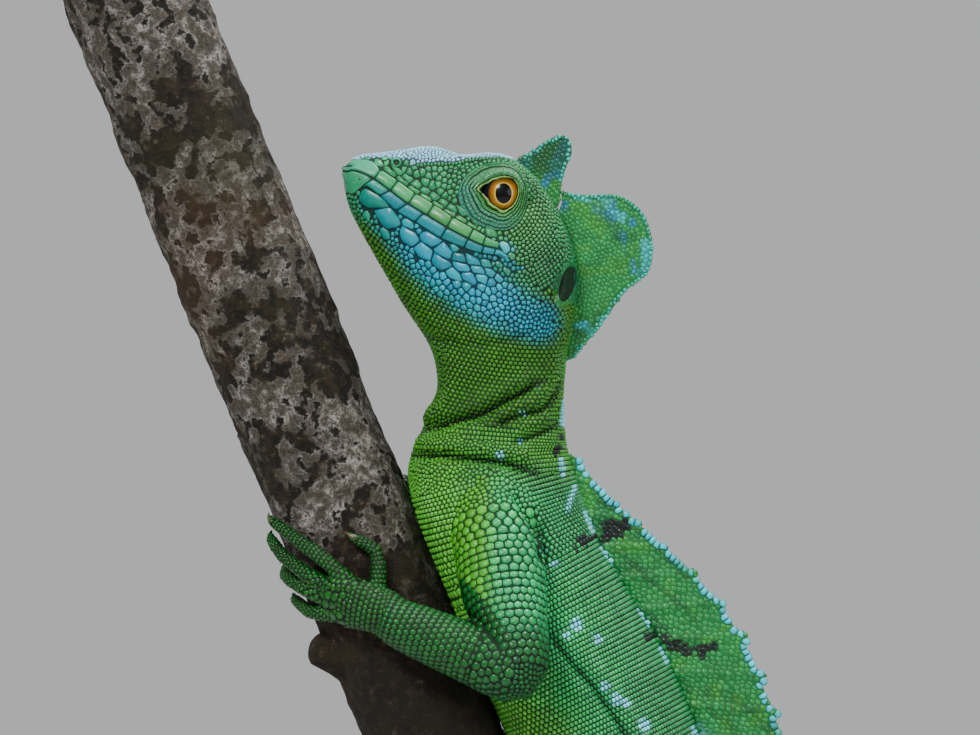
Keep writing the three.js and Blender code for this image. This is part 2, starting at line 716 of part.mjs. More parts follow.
// A point over the perch's bark, by its place along the perch, its turn round it from the side that the limb is on
// towards the animal's front, and its height over the bark.
function perchPoint(side, along, turn, lift) {
  const [x, z] = GRIP_DATUM;
  const axis = place(PERCH_TOP[0], 0, PERCH_TOP[1]).sub(place(PERCH_END[0], 0, PERCH_END[1])).normalize();
  const forward = new THREE.Vector3(-axis.z, 0, axis.x);
  const angle = THREE.MathUtils.degToRad(turn);
  const reach = PERCH_RADIUS + lift;
  const point = place(x, 0, z).addScaledVector(axis, along).addScaledVector(forward, reach * Math.sin(angle));
  point.y = side * reach * Math.cos(angle);
  return point;
}

const perchAxis = place(PERCH_TOP[0], 0, PERCH_TOP[1]).sub(place(PERCH_END[0], 0, PERCH_END[1])).normalize();

// A digit that follows the bark and ends in a claw. Stops are [along, turn].
function digit(side, grip, stops, rootRadius, tipRadius) {
  const count = stops.length - 1;
  const path = stops.map(([along, turn], i) => {
    const radius = rootRadius + ((tipRadius - rootRadius) * i) / count;
    return [perchPoint(side, along + grip.along, turn + grip.turn, radius + 0.4), radius];
  });
  const [tip] = path[count];
  const [before] = path[count - 1];
  const [along, turn] = stops[count];
  const onward = tip.clone().sub(before).normalize();
  const inward = perchPoint(side, along + grip.along, turn + grip.turn, 0).sub(tip).normalize();
  const claw = CLAW_SHAPE.map(([reach, drop, share]) => [
    tip.clone().addScaledVector(onward, reach).addScaledVector(inward, drop),
    tipRadius * share,
  ]);
  return limb([...path, ...claw], 6, Math.round(1.5 * count) + 4);
}

// A hand or foot: a flat palm along the bark with its digits. The grip says how far along the perch and round it
// the whole is moved, and how much further its digits reach along the perch or wrap round it.
function gripper(side, grip, palm, digits, [rootRadius, tipRadius]) {
  const palmStops = palm.map(([along, turn, lift, wide, thin]) => [
    perchPoint(side, along + grip.along, turn + grip.turn, lift),
    wide,
    thin,
  ]);
  const [rootAlong, rootTurn] = palm[palm.length - 1];
  const spread = ([along, turn]) => [
    rootAlong + (along - rootAlong) * grip.reach,
    rootTurn + (turn - rootTurn) * grip.wrap,
  ];
  return digits.reduce(
    (whole, stops) => whole.add(digit(side, grip, stops.map(spread), rootRadius, tipRadius)),
    limb(palmStops, 8, 6, perchAxis),
  );
}

// The cut across a joint of a limb, square to the bend there.
function jointCut(before, joint, after) {
  const normal = joint.clone().sub(before).normalize().add(after.clone().sub(joint).normalize()).normalize();
  return { normal, offset: normal.dot(joint) };
}

const HAND_PALM = [
  [-3.4, -16, 4.7, 3.8, 3.6],
  [-2.0, -3, 3.9, 3.9, 3.1],
  [0.8, 12, 3.0, 4.3, 2.4],
  [2.9, 24, 2.4, 4.2, 1.9],
  [4.0, 33, 2.0, 3.1, 1.4],
];
const HAND_DIGITS = [
  [
    [0.6, 0],
    [4.6, -9],
    [8.1, -13],
    [10.4, -5],
  ],
  [
    [3.9, 12],
    [7.8, 20],
    [11.6, 31],
    [15.2, 45],
    [18.0, 58],
  ],
  [
    [3.6, 22],
    [6.6, 36],
    [9.9, 51],
    [13.2, 71],
    [15.6, 88],
  ],
  [
    [2.4, 26],
    [5.4, 46],
    [8.3, 68],
    [10.0, 92],
    [10.9, 114],
  ],
  [
    [0.4, 24],
    [1.4, 42],
    [2.8, 62],
    [5.0, 84],
  ],
];
const FOOT_PALM = [
  [-97, -16, 4.4, 3.3, 3.0],
  [-94, -6, 3.6, 3.5, 2.8],
  [-89, 8, 2.9, 4.0, 2.3],
  [-84.5, 20, 2.4, 4.2, 1.9],
  [-82, 27, 2.0, 3.0, 1.4],
];
const FOOT_DIGITS = [
  [
    [-84, 10],
    [-79.5, 7],
    [-75, 10],
  ],
  [
    [-82.5, 18],
    [-77, 26],
    [-71.5, 36],
    [-67.5, 49],
  ],
  [
    [-82.5, 23],
    [-76, 34],
    [-69.5, 47],
    [-64, 62],
    [-60, 80],
  ],
  [
    [-83, 26],
    [-76, 42],
    [-69, 60],
    [-63, 80],
    [-58.5, 102],
    [-56, 124],
  ],
  [
    [-88, 18],
    [-87.5, 38],
    [-86, 60],
    [-83.5, 82],
  ],
];

// One arm: upper arm, forearm and hand.
function buildArm(label, side, { shoulder, elbow, wrist, grip }) {
  const [a, b, c] = [shoulder, elbow, wrist].map(([x, y, z]) => place(x, side * y, z));
  const hand = gripper(side, grip, HAND_PALM, HAND_DIGITS, [1.4, 0.95]);
  const handStart = perchPoint(side, HAND_PALM[2][0] + grip.along, HAND_PALM[2][1] + grip.turn, HAND_PALM[2][2]);
  const elbowCut = jointCut(a, b, c);
  const wristCut = jointCut(b, c, handStart);
  const upperEnd = b.clone().lerp(a, -0.12);
  const upper = limb(
    [
      [a.clone().lerp(b, -0.22), 4.6],
      [a, 7.2],
      [a.clone().lerp(b, 0.35), 7.2],
      [a.clone().lerp(b, 0.7), 6.3],
      [b, 5.4],
      [upperEnd, 2.6],
    ],
    12,
    10,
  );
  const fore = limb(
    [
      [b.clone().lerp(c, -0.17), 2.6],
      [b, 5.2],
      [b.clone().lerp(c, 0.35), 4.9],
      [b.clone().lerp(c, 0.7), 4.4],
      [c, 4.0],
      [c.clone().lerp(handStart, 0.6), 3.4],
    ],
    12,
    10,
  );
  addPiece("upper_arm_" + label, ahead(upper, elbowCut).subtract(grownTrunk).subtract(grownPerch), MATERIALS.flesh);
  addPiece("forearm_" + label, ahead(behind(fore, elbowCut), wristCut).subtract(grownTrunk).subtract(grownPerch), MATERIALS.flesh);
  addPiece("hand_" + label, behind(hand, wristCut).subtract(grownTrunk).subtract(grownPerch), MATERIALS.flesh);
}

buildArm("left", LEFT, {
  shoulder: [0.4, 8.0, -23.5],
  elbow: [4.2, 19.8, -49.4],
  wrist: [-16.6, 15.3, -41.0],
  grip: { along: 0, turn: 0, reach: 1, wrap: 1 },
});
buildArm("right", RIGHT, {
  shoulder: [0.4, 8.0, -23.5],
  elbow: [3.4, 28.5, -37.5],
  wrist: [-14.4, 13.0, -23.4],
  grip: { along: 17, turn: -28, reach: 1.7, wrap: 0.6 },
});

// One leg: thigh, shin and foot.
function buildLeg(label, side, { hip, knee, ankle, grip }) {
  const [a, b, c] = [hip, knee, ankle].map(([x, y, z]) => place(x, side * y, z));
  const foot = gripper(side, grip, FOOT_PALM, FOOT_DIGITS, [1.35, 0.95]);
  const footStart = perchPoint(side, FOOT_PALM[2][0] + grip.along, FOOT_PALM[2][1] + grip.turn, FOOT_PALM[2][2]);
  const kneeCut = jointCut(a, b, c);
  const ankleCut = jointCut(b, c, footStart);
  const thigh = limb(
    [
      [a, 7.6],
      [a.clone().lerp(b, 0.35), 7.4],
      [a.clone().lerp(b, 0.7), 6.2],
      [b, 4.8],
      [b.clone().lerp(a, -0.08), 2.4],
    ],
    12,
    10,
  );
  const shin = limb(
    [
      [b.clone().lerp(c, -0.08), 2.4],
      [b, 4.7],
      [b.clone().lerp(c, 0.3), 5.0],
      [b.clone().lerp(c, 0.65), 3.9],
      [c, 3.3],
      [c.clone().lerp(footStart, 0.6), 2.9],
    ],
    12,
    10,
  );
  addPiece("thigh_" + label, ahead(thigh, kneeCut).subtract(grownTrunk), MATERIALS.flesh);
  addPiece("shin_" + label, ahead(behind(shin, kneeCut), ankleCut).subtract(grownPerch), MATERIALS.flesh);
  addPiece("foot_" + label, behind(foot, ankleCut).subtract(grownPerch), MATERIALS.flesh);
}

buildLeg("left", LEFT, {
  hip: [37, 6.5, -104],
  knee: [25.5, 36, -79],
  ankle: [17.4, 15.4, -124.6],
  grip: { along: 0, turn: 0, reach: 1, wrap: 1 },
});
buildLeg("right", RIGHT, {
  hip: [37, 6.5, -104],
  knee: [31.5, 40.5, -95],
  ankle: [32.8, 13.2, -141.8],
  grip: { along: -18, turn: -16, reach: 1, wrap: 1 },
});

export default group;
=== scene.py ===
"""Dresses a life-size green basilisk on a cut branch: hide, scales, crests, eyes, claws, bark and stand.

Lengths are in millimetres from a datum beside the neck, the middle of the photograph's frame, until a mesh is
made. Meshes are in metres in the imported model's frame: +Z up, the animal faces -X, its left side -Y.
"""

from __future__ import annotations

import json
import logging
import math
from dataclasses import dataclass, field
from enum import Enum
from typing import Any, Sequence

import bpy
import numpy as np
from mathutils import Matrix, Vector
from mathutils.bvhtree import BVHTree
from mathutils.kdtree import KDTree

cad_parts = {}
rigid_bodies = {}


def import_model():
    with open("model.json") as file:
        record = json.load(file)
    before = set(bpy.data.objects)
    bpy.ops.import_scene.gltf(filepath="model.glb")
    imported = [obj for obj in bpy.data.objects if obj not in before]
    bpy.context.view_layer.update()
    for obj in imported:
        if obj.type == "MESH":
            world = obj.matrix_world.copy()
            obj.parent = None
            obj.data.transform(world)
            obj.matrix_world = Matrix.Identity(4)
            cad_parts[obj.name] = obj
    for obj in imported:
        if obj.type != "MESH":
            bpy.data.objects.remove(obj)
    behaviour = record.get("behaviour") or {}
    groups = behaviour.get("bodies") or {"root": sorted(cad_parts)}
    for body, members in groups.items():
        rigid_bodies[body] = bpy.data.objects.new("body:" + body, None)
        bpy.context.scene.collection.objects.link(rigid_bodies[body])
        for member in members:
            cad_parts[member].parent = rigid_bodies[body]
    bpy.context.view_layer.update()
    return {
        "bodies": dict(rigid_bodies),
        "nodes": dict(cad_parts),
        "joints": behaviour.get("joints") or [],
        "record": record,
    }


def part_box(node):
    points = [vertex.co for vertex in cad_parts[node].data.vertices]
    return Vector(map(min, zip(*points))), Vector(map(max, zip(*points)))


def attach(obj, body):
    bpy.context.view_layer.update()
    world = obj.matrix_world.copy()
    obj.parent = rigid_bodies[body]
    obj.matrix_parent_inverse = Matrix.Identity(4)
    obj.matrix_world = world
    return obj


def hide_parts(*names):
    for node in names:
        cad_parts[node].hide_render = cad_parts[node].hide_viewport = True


LOG = logging.getLogger("basilisk")
MM = 0.001
DATUM = np.array((-15.0, 0.0, 468.0))
SEED = 7
Array = np.ndarray


class Side(Enum):
    """The animal's sides, by the sign of Y."""

    LEFT = -1
    RIGHT = 1


class Region(Enum):
    """Parts of the animal whose scales differ."""

    HEAD = 0
    NECK = 1
    TORSO = 2
    TAIL = 3
    ARM = 4
    LEG = 5
    HAND = 6
    FOOT = 7
    CREST = 8
    EDGE = 9


def place(points: Any) -> Array:
    """Moves points given from the datum into the model's frame, in millimetres."""
    return np.asarray(points, float) + DATUM


def unit(vectors: Array) -> Array:
    """Scales each vector of an array to length one."""
    return vectors / np.maximum(np.linalg.norm(vectors, axis=-1, keepdims=True), 1e-9)


def smoothstep(low: float, high: float, values: Array) -> Array:
    """Rises smoothly from 0 at low to 1 at high; low may be above high."""
    t = np.clip((values - low) / (high - low), 0.0, 1.0)
    return t * t * (3.0 - 2.0 * t)


def spread(flat: Array, sideways: Any = 0.0) -> Array:
    """Turns places or directions of the side view into ones in space."""
    return np.stack((flat[:, 0], np.broadcast_to(sideways, len(flat)), flat[:, 1]), axis=1)


def directions(turns: Array) -> Array:
    """Gives a direction of length one for each turn, in radians."""
    return np.stack((np.cos(turns), np.sin(turns)), axis=-1)


def quarter(flat: Array) -> Array:
    """Turns directions of the side view by a quarter."""
    return np.stack((-flat[:, 1], flat[:, 0]), axis=1)


def repeat(vector: Any, count: int) -> Array:
    """Gives an array with the same vector in each row."""
    return np.tile(np.asarray(vector, float), (count, 1))


def dorsal(along: Array) -> Array:
    """Gives the direction towards the back, square to each direction along the body."""
    return np.stack((-along[:, 2], np.zeros(len(along)), along[:, 0]), axis=1)


def line_length(line: Array) -> float:
    """Gives the length of a line of straight stretches."""
    return float(np.linalg.norm(np.diff(line, axis=0), axis=1).sum())


def run_along(line: Array) -> Array:
    """Gives the length run along a line to each of its corners."""
    return np.concatenate(([0.0], np.cumsum(np.linalg.norm(np.diff(line, axis=0), axis=1))))


def lay(colours: Array, colour: Array, share: Array) -> None:
    """Lays one colour over others by a share at each place."""
    colours += (colour - colours) * np.clip(share, 0.0, 1.0)[:, None]


def make_tree(points: Array) -> KDTree:
    """Sorts points so that those near a place are quickly found.

    Args:
        points: The points.

    Returns:
        The tree.
    """
    tree = KDTree(len(points))
    for i, point in enumerate(points.tolist()):
        tree.insert(point, i)
    tree.balance()
    return tree


def mirror(local: Array) -> Array:
    """Brings places of both sides of the body to the right side."""
    return local * (1.0, 0.0, 1.0) + np.abs(local) * (0.0, 1.0, 0.0)


def within(regions: Array, *wanted: Region) -> Array:
    """Tells which places are in any of the wanted regions."""
    return np.isin(regions, [region.value for region in wanted])


def polyline_gap(points: Array, line: Array, reach: float = 1e9) -> tuple[Array, Array, Array]:
    """Finds each point's nearest place on a line of straight stretches.

    Args:
        points: Points, in as many dimensions as the line.
        line: The line's corners.
        reach: How far from the line's box the points are still looked at.

    Returns:
        The distance, the length run along the line, and which stretch is nearest. Points out of reach get a
        distance of a million.
    """
    gap, run = np.full(len(points), 1e6), np.zeros(len(points))
    nearest = np.zeros(len(points), dtype=int)
    close = ((points > line.min(axis=0) - reach) & (points < line.max(axis=0) + reach)).all(axis=1)
    rows = np.nonzero(close)[0]
    looked = points[rows]
    before = 0.0
    for i, (start, end) in enumerate(zip(line, line[1:])):
        step = end - start
        length = float(np.linalg.norm(step))
        t = np.clip((looked - start) @ step / length**2, 0.0, 1.0)
        away = np.linalg.norm(looked - (start + t[:, None] * step), axis=1)
        nearer = away < gap[rows]
        gap[rows[nearer]] = away[nearer]
        run[rows[nearer]] = before + t[nearer] * length
        nearest[rows[nearer]] = i
        before += length
    return gap, run, nearest


def flat_line_gap(places: Array, line: Array, reach: float = 1e9) -> tuple[Array, Array, Array]:
    """Finds how far places of the side view are from a line, how far along it, and which are above it.

    Args:
        places: Places of the side view.
        line: The line's corners.
        reach: How far from the line's box places are still looked at.

    Returns:
        The distances, the lengths run along the line, and which places are above it.
    """
    gap, run, nearest = polyline_gap(places, line, reach)
    steps, off = np.diff(line, axis=0)[nearest], places - line[nearest]
    return gap, run, steps[:, 0] * off[:, 1] - steps[:, 1] * off[:, 0] > 0


def smooth_line(corners: Any, count: int) -> Array:
    """Runs a smooth curve through corners and gives points along it at equal lengths.

    Args:
        corners: The points that the curve passes through.
        count: How many points to give.

    Returns:
        An array of count points.
    """
    pins = np.asarray(corners, float)
    padded = np.vstack((2 * pins[0] - pins[1], pins, 2 * pins[-1] - pins[-2]))
    t = np.linspace(0, 1, 12, endpoint=False)[:, None]
    stretches = []
    for a, b, c, d in zip(padded, padded[1:], padded[2:], padded[3:]):
        rise, fall = (c - a) / 2, (d - b) / 2
        cubic = (2 * (b - c) + rise + fall) * t**3 + (3 * (c - b) - 2 * rise - fall) * t**2
        stretches.append(cubic + rise * t + b)
    dense = np.vstack((*stretches, pins[-1:]))
    run = run_along(dense)
    targets = np.linspace(0, run[-1], count)
    return np.stack([np.interp(targets, run, dense[:, k]) for k in range(dense.shape[1])], axis=1)


def value_noise(points: Array, pitch: float, seed: int = 0) -> Array:
    """Gives smooth random values between -1 and 1 over space.

    Args:
        points: Places, in millimetres.
        pitch: The size of the pattern's grain.
        seed: Which pattern.

    Returns:
        One value for each point.
    """
    cells = points / pitch + seed * 17.31
    base = np.floor(cells).astype(np.int64)
    part = cells - base
    part = part * part * (3 - 2 * part)
    total = np.zeros(len(points))
    for corner in range(8):
        step = np.array((corner & 1, corner >> 1 & 1, corner >> 2 & 1))
        spot = base + step
        mixed = (spot[:, 0] * 73856093) ^ (spot[:, 1] * 19349663) ^ (spot[:, 2] * 83492791)
        draw = ((mixed * 2654435761) & 0xFFFFFF) / 0xFFFFFF * 2 - 1
        total += draw * np.prod(np.where(step, part, 1 - part), axis=1)
    return total


def select_none() -> None:
    """Deselects everything."""
    bpy.ops.object.select_all(action="DESELECT")


def select_only(*objects: bpy.types.Object) -> None:
    """Selects these objects and nothing else, and makes the first one active.

    Args:
        objects: The objects to select.
    """
    select_none()
    for obj in objects:
        obj.select_set(True)
    bpy.context.view_layer.objects.active = objects[0]


def edit_upright_edges(obj: bpy.types.Object) -> None:
    """Opens an object for editing with its upright edges selected, and no others.

    Args:
        obj: The object.
    """
    select_only(obj)
    bpy.ops.object.mode_set(mode="EDIT")
    bpy.ops.mesh.select_mode(type="EDGE")
    bpy.ops.mesh.select_all(action="DESELECT")
    bpy.ops.object.mode_set(mode="OBJECT")
    for edge in obj.data.edges:
        a, b = (obj.data.vertices[i].co for i in edge.vertices)
        edge.select = abs(a.z - b.z) > 1e-4
    bpy.ops.object.mode_set(mode="EDIT")


def apply_modifier(obj: bpy.types.Object, kind: str, **settings: Any) -> None:
    """Adds one modifier to an object, sets it and applies it.

    Args:
        obj: The object.
        kind: The modifier's type.
        settings: Its properties.
    """
    select_only(obj)
    modifier = obj.modifiers.new(kind.title(), kind)
    for name, value in settings.items():
        setattr(modifier, name, value)
    bpy.ops.object.modifier_apply(modifier=modifier.name)


def newest(name: str) -> bpy.types.Object:
    """Names the object that an operator has just made, and gives it.

    Args:
        name: The object's name.

    Returns:
        The object.
    """
    obj = bpy.context.object
    obj.name = obj.data.name = name
    return obj


def move_points(obj: bpy.types.Object, points: Array) -> None:
    """Puts the corners of a mesh at places given in millimetres."""
    obj.data.vertices.foreach_set("co", (points * MM).ravel())
    obj.data.update()


def keep_values(obj: bpy.types.Object, name: str, values: Array) -> None:
    """Keeps a number for each corner of a mesh, for its material to read."""
    layer = obj.data.attributes.new(name, "FLOAT", "POINT")
    layer.data.foreach_set("value", values.astype(np.float32))


def mesh_object(name: str, points: Array, triangles: Array) -> bpy.types.Object:
    """Makes an object from arrays.

    Args:
        name: The piece's name.
        points: Corners, in millimetres in the model's frame.
        triangles: Three corner numbers for each face.

    Returns:
        The new object, smooth shaded, in the scene.
    """
    mesh = bpy.data.meshes.new(name)
    mesh.vertices.add(len(points))
    mesh.vertices.foreach_set("co", (points * MM).astype(np.float32).ravel())
    mesh.loops.add(triangles.size)
    mesh.loops.foreach_set("vertex_index", triangles.astype(np.int32).ravel())
    mesh.polygons.add(len(triangles))
    mesh.polygons.foreach_set("loop_start", np.arange(0, triangles.size, 3, dtype=np.int32))
    mesh.polygons.foreach_set("use_smooth", np.ones(len(triangles), dtype=bool))
    mesh.update(calc_edges=True)
    obj = bpy.data.objects.new(name, mesh)
    bpy.context.scene.collection.objects.link(obj)
    return obj


def copy_nodes(name: str, nodes: Sequence[str], frame: dict[str, Any]) -> bpy.types.Object:
    """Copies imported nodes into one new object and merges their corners.

    Args:
        name: The new object's name.
        nodes: The nodes to copy.
        frame: The loaded frame.

    Returns:
        The joined copy.
    """
    copies = []
    for node in nodes:
        copied = frame["nodes"][node].copy()
        copied.data = copied.data.copy()
        copied.parent = None
        for key in list(copied.keys()):
            del copied[key]
        copied.data.materials.clear()
        copied.hide_render = False
        copied.hide_viewport = False
        bpy.context.scene.collection.objects.link(copied)
        copied.hide_set(False)
        copies.append(copied)
    select_only(*copies)
    if len(copies) > 1:
        bpy.ops.object.join()
    joined = bpy.context.view_layer.objects.active
    joined.name = joined.data.name = name
    bpy.ops.object.mode_set(mode="EDIT")
    bpy.ops.mesh.select_all(action="SELECT")
    bpy.ops.mesh.remove_doubles(threshold=1e-6)
    bpy.ops.object.mode_set(mode="OBJECT")
    return joined


def paint_mesh(obj: bpy.types.Object, colours: Array) -> None:
    """Keeps a linear colour for each corner of a mesh, for its material to read.

    Args:
        obj: The object.
        colours: A linear colour for each place.
    """
    layer = obj.data.color_attributes.new("hide", "FLOAT_COLOR", "POINT")
    rgba = np.concatenate((np.clip(colours, 0, 1), np.ones((len(colours), 1))), axis=1)
    layer.data.foreach_set("color", rgba.astype(np.float32).ravel())


class Surface:
    """A mesh that can be asked for its nearest point and for what a ray meets."""

    def __init__(self, *objects: bpy.types.Object) -> None:
        """Reads the meshes of one or more objects that stand unturned at the origin.

        Args:
            objects: The objects.
        """
        points, normals, triangles = [], [], []
        before = 0
        for mesh in (obj.data for obj in objects):
            count = len(mesh.vertices)
            places, outward = np.empty(count * 3), np.empty(count * 3)
            mesh.vertices.foreach_get("co", places)
            mesh.vertices.foreach_get("normal", outward)
            mesh.calc_loop_triangles()
            corners = np.empty(len(mesh.loop_triangles) * 3, dtype=np.int32)
            mesh.loop_triangles.foreach_get("vertices", corners)
            points.append(places.reshape(-1, 3) / MM)
            normals.append(outward.reshape(-1, 3))
            triangles.append(corners.reshape(-1, 3) + before)
            before += count
        self.points = np.concatenate(points)
        self.normals = np.concatenate(normals)
        self.triangles = np.concatenate(triangles)
        self.tree = BVHTree.FromPolygons(self.points.tolist(), self.triangles.tolist())

    def _smooth_normals(self, faces: Array, places: Array) -> Array:
        """Blends the corner normals of faces at places on them.

        Args:
            faces: Numbers of triangles.
            places: A place on each.

        Returns:
            The normals.
        """
        corners = self.triangles[faces]
        gaps = np.linalg.norm(self.points[corners] - places[:, None], axis=2)
        weights = 1.0 / (gaps + 1e-4)
        return unit((self.normals[corners] * weights[..., None]).sum(axis=1))

    def nearest(self, points: Array) -> tuple[Array, Array, Array]:
        """Finds the nearest place of the surface.

        Args:
            points: Places to look from.

        Returns:
            The nearest places, the smooth normals there, and the distances.
        """
        found = [self.tree.find_nearest(point) for point in points.tolist()]
        places = np.array([hit[0] for hit in found])
        faces = np.array([hit[2] for hit in found])
        return places, self._smooth_normals(faces, places), np.array([hit[3] for hit in found])

    def cast(self, origins: Array, ways: Array, reach: float = 200.0) -> tuple[Array, Array, Array]:
        """Shoots rays and gives what they meet first.

        Args:
            origins: Where the rays start.
            ways: Where they point.
            reach: How far they go.

        Returns:
            The places met, the smooth normals there, and which rays met something.
        """
        places = np.zeros_like(origins)
        faces = np.zeros(len(origins), dtype=int)
        met = np.zeros(len(origins), dtype=bool)
        for i, (origin, way) in enumerate(zip(origins.tolist(), ways.tolist())):
            hit, _, face, _ = self.tree.ray_cast(origin, way, reach)
            if hit is not None:
                places[i] = hit
                faces[i] = face
                met[i] = True
        return places, self._smooth_normals(faces, places), met


@dataclass
class Axis:
    """A centre line that rings of scales run round, with its dorsal side."""

    corners: Sequence[Sequence[float]]
    step: float
    up: tuple[float, float, float] | None = None

    def stations(self) -> tuple[Array, Array, Array, Array]:
        """Gives points along the line at equal steps, with their directions.

        Returns:
            The points, the directions along the line, up from it and sideways from it.
        """
        pins = np.asarray(self.corners, float)
        points = place(smooth_line(pins, max(int(line_length(pins) / self.step), 3)))
        along = unit(np.gradient(points, axis=0))
        if self.up is None:
            upward = dorsal(along)
        else:
            upward = np.tile(np.asarray(self.up, float), (len(along), 1))
        upward = unit(upward - (upward * along).sum(axis=1, keepdims=True) * along)
        return points, along, upward, np.cross(along, upward)


@dataclass(frozen=True)
class Grip:
    """Where a hand or foot holds the perch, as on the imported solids."""

    side: Side
    along: float
    turn: float
    reach: float = 1.0
    wrap: float = 1.0


PERCH_RADIUS = 11.2
PERCH_TOP = np.array((-60.9, 0.0, 66.0))
PERCH_END = np.array((41.5, 0.0, -185.0))
GRIP_DATUM = np.array((-18.3, 0.0, -38.4))
PERCH_AXIS = (PERCH_TOP - PERCH_END) / np.linalg.norm(PERCH_TOP - PERCH_END)
PERCH_FRONT = np.array((-PERCH_AXIS[2], 0.0, PERCH_AXIS[0]))


def perch_point(side: Side, along: float, turn: float, lift: float) -> Array:
    """Gives a point over the bark, from the datum.

    Args:
        side: The side of the animal that turns are counted from.
        along: The distance up the perch.
        turn: Degrees round the perch, from that side to the front.
        lift: The height over the bark.

    Returns:
        The point.
    """
    angle = math.radians(turn)
    reach = PERCH_RADIUS + lift
    point = GRIP_DATUM + PERCH_AXIS * along + PERCH_FRONT * reach * math.sin(angle)
    return point + np.array((0.0, side.value * reach * math.cos(angle), 0.0))


PALM = {
    Region.HAND: ((-3.4, -16, 4.7), (-2.0, -3, 3.9), (0.8, 12, 3.0), (2.9, 24, 2.4), (4.0, 33, 2.0)),
    Region.FOOT: ((-97, -16, 4.4), (-94, -6, 3.6), (-89, 8, 2.9), (-84.5, 20, 2.4), (-82, 27, 2.0)),
}
DIGITS = {
    Region.HAND: (
        ((0.6, 0), (4.6, -9), (8.1, -13), (10.4, -5)),
        ((3.9, 12), (7.8, 20), (11.6, 31), (15.2, 45), (18.0, 58)),
        ((3.6, 22), (6.6, 36), (9.9, 51), (13.2, 71), (15.6, 88)),
        ((2.4, 26), (5.4, 46), (8.3, 68), (10.0, 92), (10.9, 114)),
        ((0.4, 24), (1.4, 42), (2.8, 62), (5.0, 84)),
    ),
    Region.FOOT: (
        ((-84, 10), (-79.5, 7), (-75, 10)),
        ((-82.5, 18), (-77, 26), (-71.5, 36), (-67.5, 49)),
        ((-82.5, 23), (-76, 34), (-69.5, 47), (-64, 62), (-60, 80)),
        ((-83, 26), (-76, 42), (-69, 60), (-63, 80), (-58.5, 102), (-56, 124)),
        ((-88, 18), (-87.5, 38), (-86, 60), (-83.5, 82)),
    ),
}
GRIPS = {
    (Region.HAND, Side.LEFT): Grip(Side.LEFT, 0, 0),
    (Region.HAND, Side.RIGHT): Grip(Side.RIGHT, 17, -28, 1.7, 0.6),
    (Region.FOOT, Side.LEFT): Grip(Side.LEFT, 0, 0),
    (Region.FOOT, Side.RIGHT): Grip(Side.RIGHT, -18, -16),
}
DIGIT_LIFT = 0.4
DIGIT_RADII = {Region.HAND: (1.4, 0.95), Region.FOOT: (1.35, 0.95)}
LIMBS = {
    "upper_arm_left": ((0.4, -8.0, -23.5), (4.2, -19.8, -49.4)),
    "forearm_left": ((4.2, -19.8, -49.4), (-16.6, -15.3, -41.0)),
    "upper_arm_right": ((0.4, 8.0, -23.5), (3.4, 28.5, -37.5)),
    "forearm_right": ((3.4, 28.5, -37.5), (-14.4, 13.0, -23.4)),
    "thigh_left": ((37, -6.5, -104), (25.5, -36, -79)),
    "shin_left": ((25.5, -36, -79), (17.4, -15.4, -124.6)),
    "thigh_right": ((37, 6.5, -104), (31.5, 40.5, -95)),
    "shin_right": ((31.5, 40.5, -95), (32.8, 13.2, -141.8)),
}
TRUNK_NODES = ("head", "neck", "torso", "tail_1", "tail_2", "tail_3", "tail_4")
GRIP_NODES = ("hand_left", "hand_right", "foot_left", "foot_right")
CREST_PARTS = ("head_front", "head_rear", "back", "tail_1", "tail_2", "tail_3")
CREST_NODES = tuple(f"crest_{part}" for part in CREST_PARTS)
HEAD_AXIS = (
    (-22.5, 0, 31.6), (-20.2, 0, 30.3), (-14.1, 0, 27.5), (-7.4, 0, 23.1), (-1.2, 0, 17.7), (2.5, 0, 9.5),
)
NECK_AXIS = ((2.5, 0, 9.5), (2.4, 0, 1.5), (0.9, 0, -5.3), (0.1, 0, -12.2), (0.4, 0, -18.2))
TORSO_AXIS = (
    (0.4, 0, -18.2), (3.4, 0, -28.1), (10.5, 0, -42.9), (20.1, 0, -64.2), (30.1, 0, -88.0), (43.7, 0, -119.0),
)
TAIL_AXIS = (
    (43.7, 0, -119.0), (49.6, 0, -136), (57, -1, -160), (66, -3, -197), (72, -6, -238), (75, -9, -285),
    (74, -11, -332), (76, -10, -378), (86, -7, -416), (106, -2, -440), (134, 3, -446), (158, 6, -436),
)
EYE_CENTRE = (2.1, 5.5, 28.5)
EYE_RADIUS = 4.3
LID_LINE = (
    (2.48, 0.17), (2.39, 1.32), (1.73, 2.31), (0.74, 2.56), (-0.91, 2.31), (-2.39, 1.65), (-3.88, 0.66),
    (-3.2, 0.0), (-2.39, -0.84), (-1.07, -2.1), (0.08, -2.72), (1.07, -2.35), (2.06, -1.16),
)
NOSTRIL = (-15.4, 33.7)
EAR = (12.9, 13.9)
EAR_LEAN = math.radians(18)
CANTHUS = (
    (-23.4, 33.6), (-20.6, 34.5), (-17.7, 34.5), (-14.0, 34.2), (-12.4, 33.5), (-9.9, 33.6), (-5.8, 33.7),
    (-3.3, 34.3), (1.6, 34.6), (4.9, 34.0), (6.6, 32.7), (8.2, 29.8),
)
UPPER_JOINTS = (0.0, 4.7, 8.0, 11.7, 15.3, 19.1, 23.1, 25.7, 28.3)
LOWER_JOINTS = (0.0, 4.6, 7.9, 11.5, 14.6, 19.1, 23.1, 25.9, 27.9, 30.6)
UPPER_HEIGHTS = ((0, 3, 4.7, 8, 15, 19, 23, 25.7, 28.3), (1.6, 2.5, 1.9, 2.1, 2.15, 1.95, 1.85, 1.6, 0.9))
LOWER_HEIGHTS = (
    (0, 4.4, 4.8, 7.9, 11.5, 14.6, 19.1, 23.1, 26, 30.6),
    (3.9, 3.9, 1.6, 1.75, 2.1, 2.0, 2.1, 1.7, 1.35, 0.9),
)
